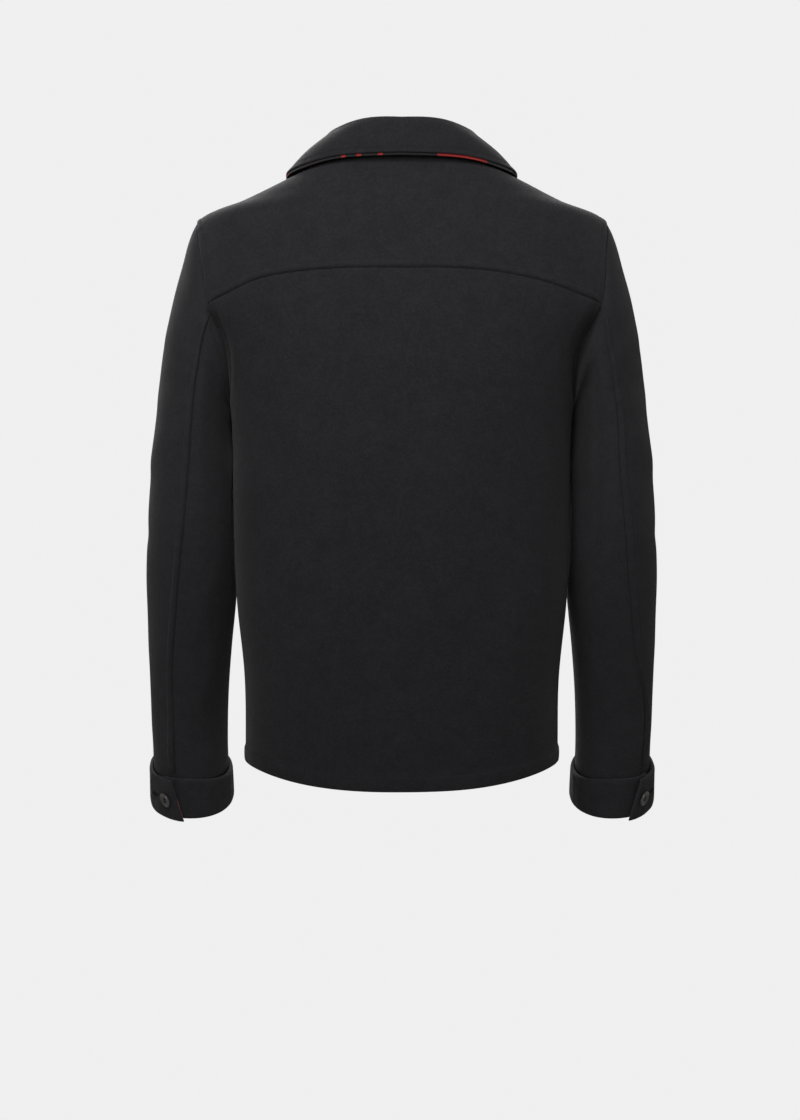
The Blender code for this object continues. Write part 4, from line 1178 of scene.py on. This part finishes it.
def buildCollar():
    fallLength = collar["length"]
    fine = [9, 7.6, 6.4, 5.6, 5, 4.4, 3.6, 2.8, 2, 1.4, 0.9, 0.5, 0.2, 0]
    fine = 1 - np.array(fine) / 1000 / fallLength
    reaches = np.concatenate([np.linspace(0, fine[0] - 0.012, 62), fine])
    grid = collarGrid(reaches)
    normal = -gridNormal(grid)
    toEdge = ((1 - reaches) * fallLength)[:, None] + 0 * grid[..., 0]
    run = runAlong(grid)
    toEnd = np.minimum(run, run[:, -1:] - run)
    relief = puckers(run, bump(toEdge, 0.004, 0.004)) * 0.8 - stitchDip(toEdge - 0.0056)
    fold = slowWaves(run * 1.3, reaches[:, None] * 0.1, 0.00022) * smoothStep(reaches, 0.3, 0.6)[:, None]
    draw = np.maximum(freeEdge(toEdge, collar["edge"]), freeEdge(toEnd, collar["edge"]))
    outer = grid + normal * (np.maximum(fold, 0) + relief - draw)[..., None]
    inner = grid + normal * (draw - cloth["thickness"])[..., None]
    middle = run[:, run.shape[1] // 2][:, None]
    uv = np.stack([middle - run, reaches[:, None] * fallLength + 0 * run], axis=-1)
    piece = wallFrom("collar_fold", outer, inner, uv, [melton, check])
    row = len(reaches) - 10
    lines = [stitchesOn(outer[row, 3:-3], normal[row, 3:-3])]
    dressed(piece, "collar", collar["sheet"], [sewn("collar_stitches", lines)])

    # The checked under layer follows the fall from inside and shows past its edge
    lower = reaches >= 0.65
    out, face = normal[lower], grid[lower] - normal[lower] * (cloth["thickness"] + collar["gap"])
    past = smoothStep(reaches[lower], 0.93, 1)[:, None, None] * collar["peek"]
    ahead = unit(face[-1] - face[-4])
    face = face + ahead[None] * past
    draw = freeEdge(toEdge[lower], collar["under"] * 0.5)
    above = face - out * draw[..., None]
    below = face - out * (collar["under"] - draw)[..., None]
    piece = wallFrom("undercollar_layer", above, below, uv[lower], [check, check])
    dressed(piece, "undercollar", collar["underSheet"])


buttons = {
    "height": 0.0030,
    "cuffRadius": 0.0088,
    "frontRadius": 0.0100,
    "count": 5,
    "sides": 72,
    "top": -0.125,
    "pitch": 0.113,
    "holePlace": 0.2,
    "holeRadius": 0.125,
    "profile": table(
        "radius height",
        [
            (0, 0.60), (0.10, 0.60), (0.20, 0.60), (0.30, 0.60), (0.40, 0.60), (0.50, 0.61), (0.58, 0.64),
            (0.66, 0.76), (0.73, 0.91), (0.80, 0.99), (0.87, 0.98), (0.93, 0.88), (0.98, 0.70), (1.00, 0.50),
            (0.99, 0.30), (0.95, 0.12), (0.88, 0.02), (0.80, 0.00), (0.40, 0.00), (0, 0.00),
        ],
    ),
}


def buttonGrid(radius):
    # A profile turned round its axis, finer towards the holes, less four round pits with steep sides
    rows = buttons["profile"]
    place = np.arange(len(rows["radius"]), dtype=float)
    at = np.concatenate([np.linspace(0, 6, 26), np.linspace(6.25, 19, 34)])
    share, height = np.interp(at, place, rows["radius"]), np.interp(at, place, rows["height"])
    turn = turnsOf(buttons["sides"])
    x, y = share[:, None] * np.cos(turn), share[:, None] * np.sin(turn)
    z = height[:, None] + 0 * x
    pits = sum(
        np.exp(-((np.hypot(x - a, y - b) / buttons["holeRadius"]) ** 6))
        for a in (-buttons["holePlace"], buttons["holePlace"])
        for b in (-buttons["holePlace"], buttons["holePlace"])
    )
    z = np.where(at[:, None] < 7, z - 0.5 * pits, z)
    return np.stack([x * radius, y * radius, z * buttons["height"]], axis=-1)


def buildButton(node, radius, point, outward, upward, slotWay, slotSurface):
    grid = buttonGrid(radius)
    rows, cols = grid.shape[:2]
    quads = facesRound(np.arange(rows * cols).reshape(rows, cols), flipped=True)
    z = Vector(outward).normalized()
    x = Vector(upward).cross(z).normalized()
    turn = np.array(Matrix((x, z.cross(x), z)).transposed())
    centre = np.array(Vector(point) + z * cloth["seamGap"])
    piece = meshFrom(node + "_turned", grid.reshape(-1, 3) @ turn.T + centre, quads, [horn])
    clean(piece.data)
    # Two strands of thread over each pair of holes, and a worked buttonhole under the button
    parts, share = [], np.linspace(0, math.pi, 14)
    for across in (-1, 1):
        for strand in (-0.035, 0.035):
            bow = buttons["holePlace"] * np.cos(share)
            aside = 0 * share + across * buttons["holePlace"] + strand
            path = np.stack([bow, aside, 0 * share], axis=-1) * radius
            path[:, 2] = buttons["height"] * (0.42 + 0.36 * np.sin(share) ** 0.6)
            parts.append(tubeOn(path @ turn.T + centre, np.array(z)[None] + 0 * path, radius * 0.034, 6))
    parts.append(slotSurface(slotWay))
    dressed(piece, node, threads=[sewn(node + "_thread", parts)])


def clean(mesh):
    # Closes the poles of a turned mesh and makes its faces point outwards
    work = bmesh.new()
    work.from_mesh(mesh)
    bmesh.ops.remove_doubles(work, verts=work.verts, dist=1e-7)
    bmesh.ops.recalc_face_normals(work, faces=work.faces)
    work.to_mesh(mesh)
    work.free()
    mesh.shade_smooth()


buttonhole = {"length": 0.024, "half": 0.0011, "thread": 0.00075, "start": -0.002, "steps": 64}


def slotLoop(way):
    # A long loop: two straight sides and two half rounds, as distances along and beside the slot
    turn = turnsOf(buttonhole["steps"])
    half = buttonhole["length"] / 2 - buttonhole["half"]
    along = buttonhole["start"] + buttonhole["length"] / 2
    along = along + np.sign(np.cos(turn)) * half + np.cos(turn) * buttonhole["half"]
    return way * along, np.sin(turn) * buttonhole["half"]


def buildFrontButtons():
    for index in range(buttons["count"]):
        angle = np.array(-math.pi / 2)
        level = levelForHeight(angle, buttons["top"] - index * buttons["pitch"])
        point, outward = torso(angle, level), torsoNormal(angle, level)

        def onFront(way, level=level):
            along, aside = slotLoop(way)
            at = frontAngleForX(level + aside, along)
            way = torsoNormal(at, level + aside)
            path = torso(at, level + aside) + way * 0.0002
            return tubeOn(path, way, buttonhole["thread"], 8, closed=True)

        node = "front_button_" + str(index + 1)
        buildButton(node, buttons["frontRadius"], point, outward, (0, 0, 1), 1, onFront)


def buildCuffButton(side):
    tab = cuffs["tab"][side]
    angle = np.array(math.radians(tab["button"]))
    along = np.array(cuffs["start"] + cuffs["height"] / 2)
    toEnd = (tabEndAngle(tab) - angle) * bandRadius
    lift = cuffLift + tabRise(toEnd)
    point = cuff(angle, along, lift + cuffs["wall"] + 0.0008)
    outward = unit(point - cuff(angle, along, lift)) + np.array(cuffs["buttonTilt"])
    upward = cuff(angle, along - 0.01, lift) - cuff(angle, along, lift)

    def onCuff(way):
        run, aside = slotLoop(way)
        at = angle + run / cuffs["slotRadius"]
        rise = cuffLift + tabRise(toEnd - run)
        path = cuff(at, along + aside, rise + cuffs["wall"] + 0.0003)
        way = unit(path - cuff(at, along + aside, rise))
        points, quads = tubeOn(path, way, buttonhole["thread"], 8, closed=True)
        return mirrored(points, side), quads

    values = [mirrored(np.array(value), side) for value in (point, outward, upward)]
    buildButton("cuff_button_" + side, buttons["cuffRadius"], *values, -1, onCuff)


buildBack()
buildYoke()
for sideName in ("left", "right"):
    buildFront(sideName)
    buildSleeve(sideName)
    buildCuff(sideName)
    buildCuffButton(sideName)
buildCollar()
buildFrontButtons()
print("jacket built")


studio = {
    "cameraDistance": 2.93,
    "cameraHeight": -0.321,
    "cameraSide": 0.0019,
    "tilt": 2.415,
    "lens": 87.65,
    "backdrop": 0.868,
    "world": 0.32,
    "key": {"place": (0.25, 1.25, 1.05), "size": 0.7, "power": 18},
    "fill": {"place": (0.45, 2.70, 0.80), "size": 1.5, "power": 40},
    "front": {"place": (0.40, -2.20, 1.20), "size": 2.0, "power": 120},
}


def buildStudio():
    camera = bpy.data.objects.new("camera", bpy.data.cameras.new("camera"))
    camera.data.lens = studio["lens"]
    camera.data.sensor_width = 36
    camera.location = (studio["cameraSide"], studio["cameraDistance"], studio["cameraHeight"])
    camera.rotation_euler = (math.radians(90 - studio["tilt"]), 0, math.radians(180))
    bpy.context.scene.collection.objects.link(camera)
    bpy.context.scene.camera = camera
    for name in ("key", "fill", "front"):
        light = bpy.data.lights.new(name, "AREA")
        light.shape, light.size, light.energy = "DISK", studio[name]["size"], studio[name]["power"]
        lamp = bpy.data.objects.new(name, light)
        lamp.location = studio[name]["place"]
        aim = Vector((0, -0.07, -0.35)) - lamp.location
        lamp.rotation_euler = aim.to_track_quat("-Z", "Y").to_euler()
        bpy.context.scene.collection.objects.link(lamp)
    world = bpy.data.worlds.new("studio")
    world.use_nodes = True
    world.node_tree.nodes["Background"].inputs[0].default_value = (1, 1, 1, 1)
    world.node_tree.nodes["Background"].inputs[1].default_value = studio["world"]
    bpy.context.scene.world = world
    bpy.context.scene.view_settings.view_transform = "Standard"


# The backdrop's distances in metres; flat and upright are shares of its rings
backdrop = {
    "rings": 40,
    "sides": 96,
    "flat": 0.45,
    "upright": 0.8,
    "floor": 3.4,
    "bend": 1.6,
    "height": -1.45,
    "wall": 14,
}


def buildBackdrop():
    # Floor and walls in one sheet of revolution: flat under the jacket, then a wide curve up all round
    at = backdrop
    share = np.linspace(0, 1, at["rings"])
    bend = np.clip((share - at["flat"]) / (at["upright"] - at["flat"]), 0, 1) * math.pi / 2
    flat = share < at["flat"]
    radius = np.where(flat, share / at["flat"] * at["floor"], at["floor"] + at["bend"] * np.sin(bend))
    height = at["height"] + np.where(flat, 0, at["bend"] * (1 - np.cos(bend)))
    height = height + np.maximum(share - at["upright"], 0) * at["wall"]
    turn = turnsOf(at["sides"])
    x, y = radius[:, None] * np.cos(turn), radius[:, None] * np.sin(turn)
    grid = np.stack([x, y, height[:, None] + 0 * turn], axis=-1)
    quads = facesRound(np.arange(grid[..., 0].size).reshape(-1, at["sides"]))
    paint = Paint("backdrop")
    glow = (studio["backdrop"],) * 3 + (1,)
    black = (0, 0, 0, 1)
    paint.finish(Base_Color=black, Emission_Color=glow, Emission_Strength=1, Specular_IOR_Level=0)
    floor = meshFrom("backdrop", grid.reshape(-1, 3), quads, [paint.made])
    floor.visible_shadow = floor.visible_diffuse = floor.visible_glossy = False


buildStudio()
buildBackdrop()
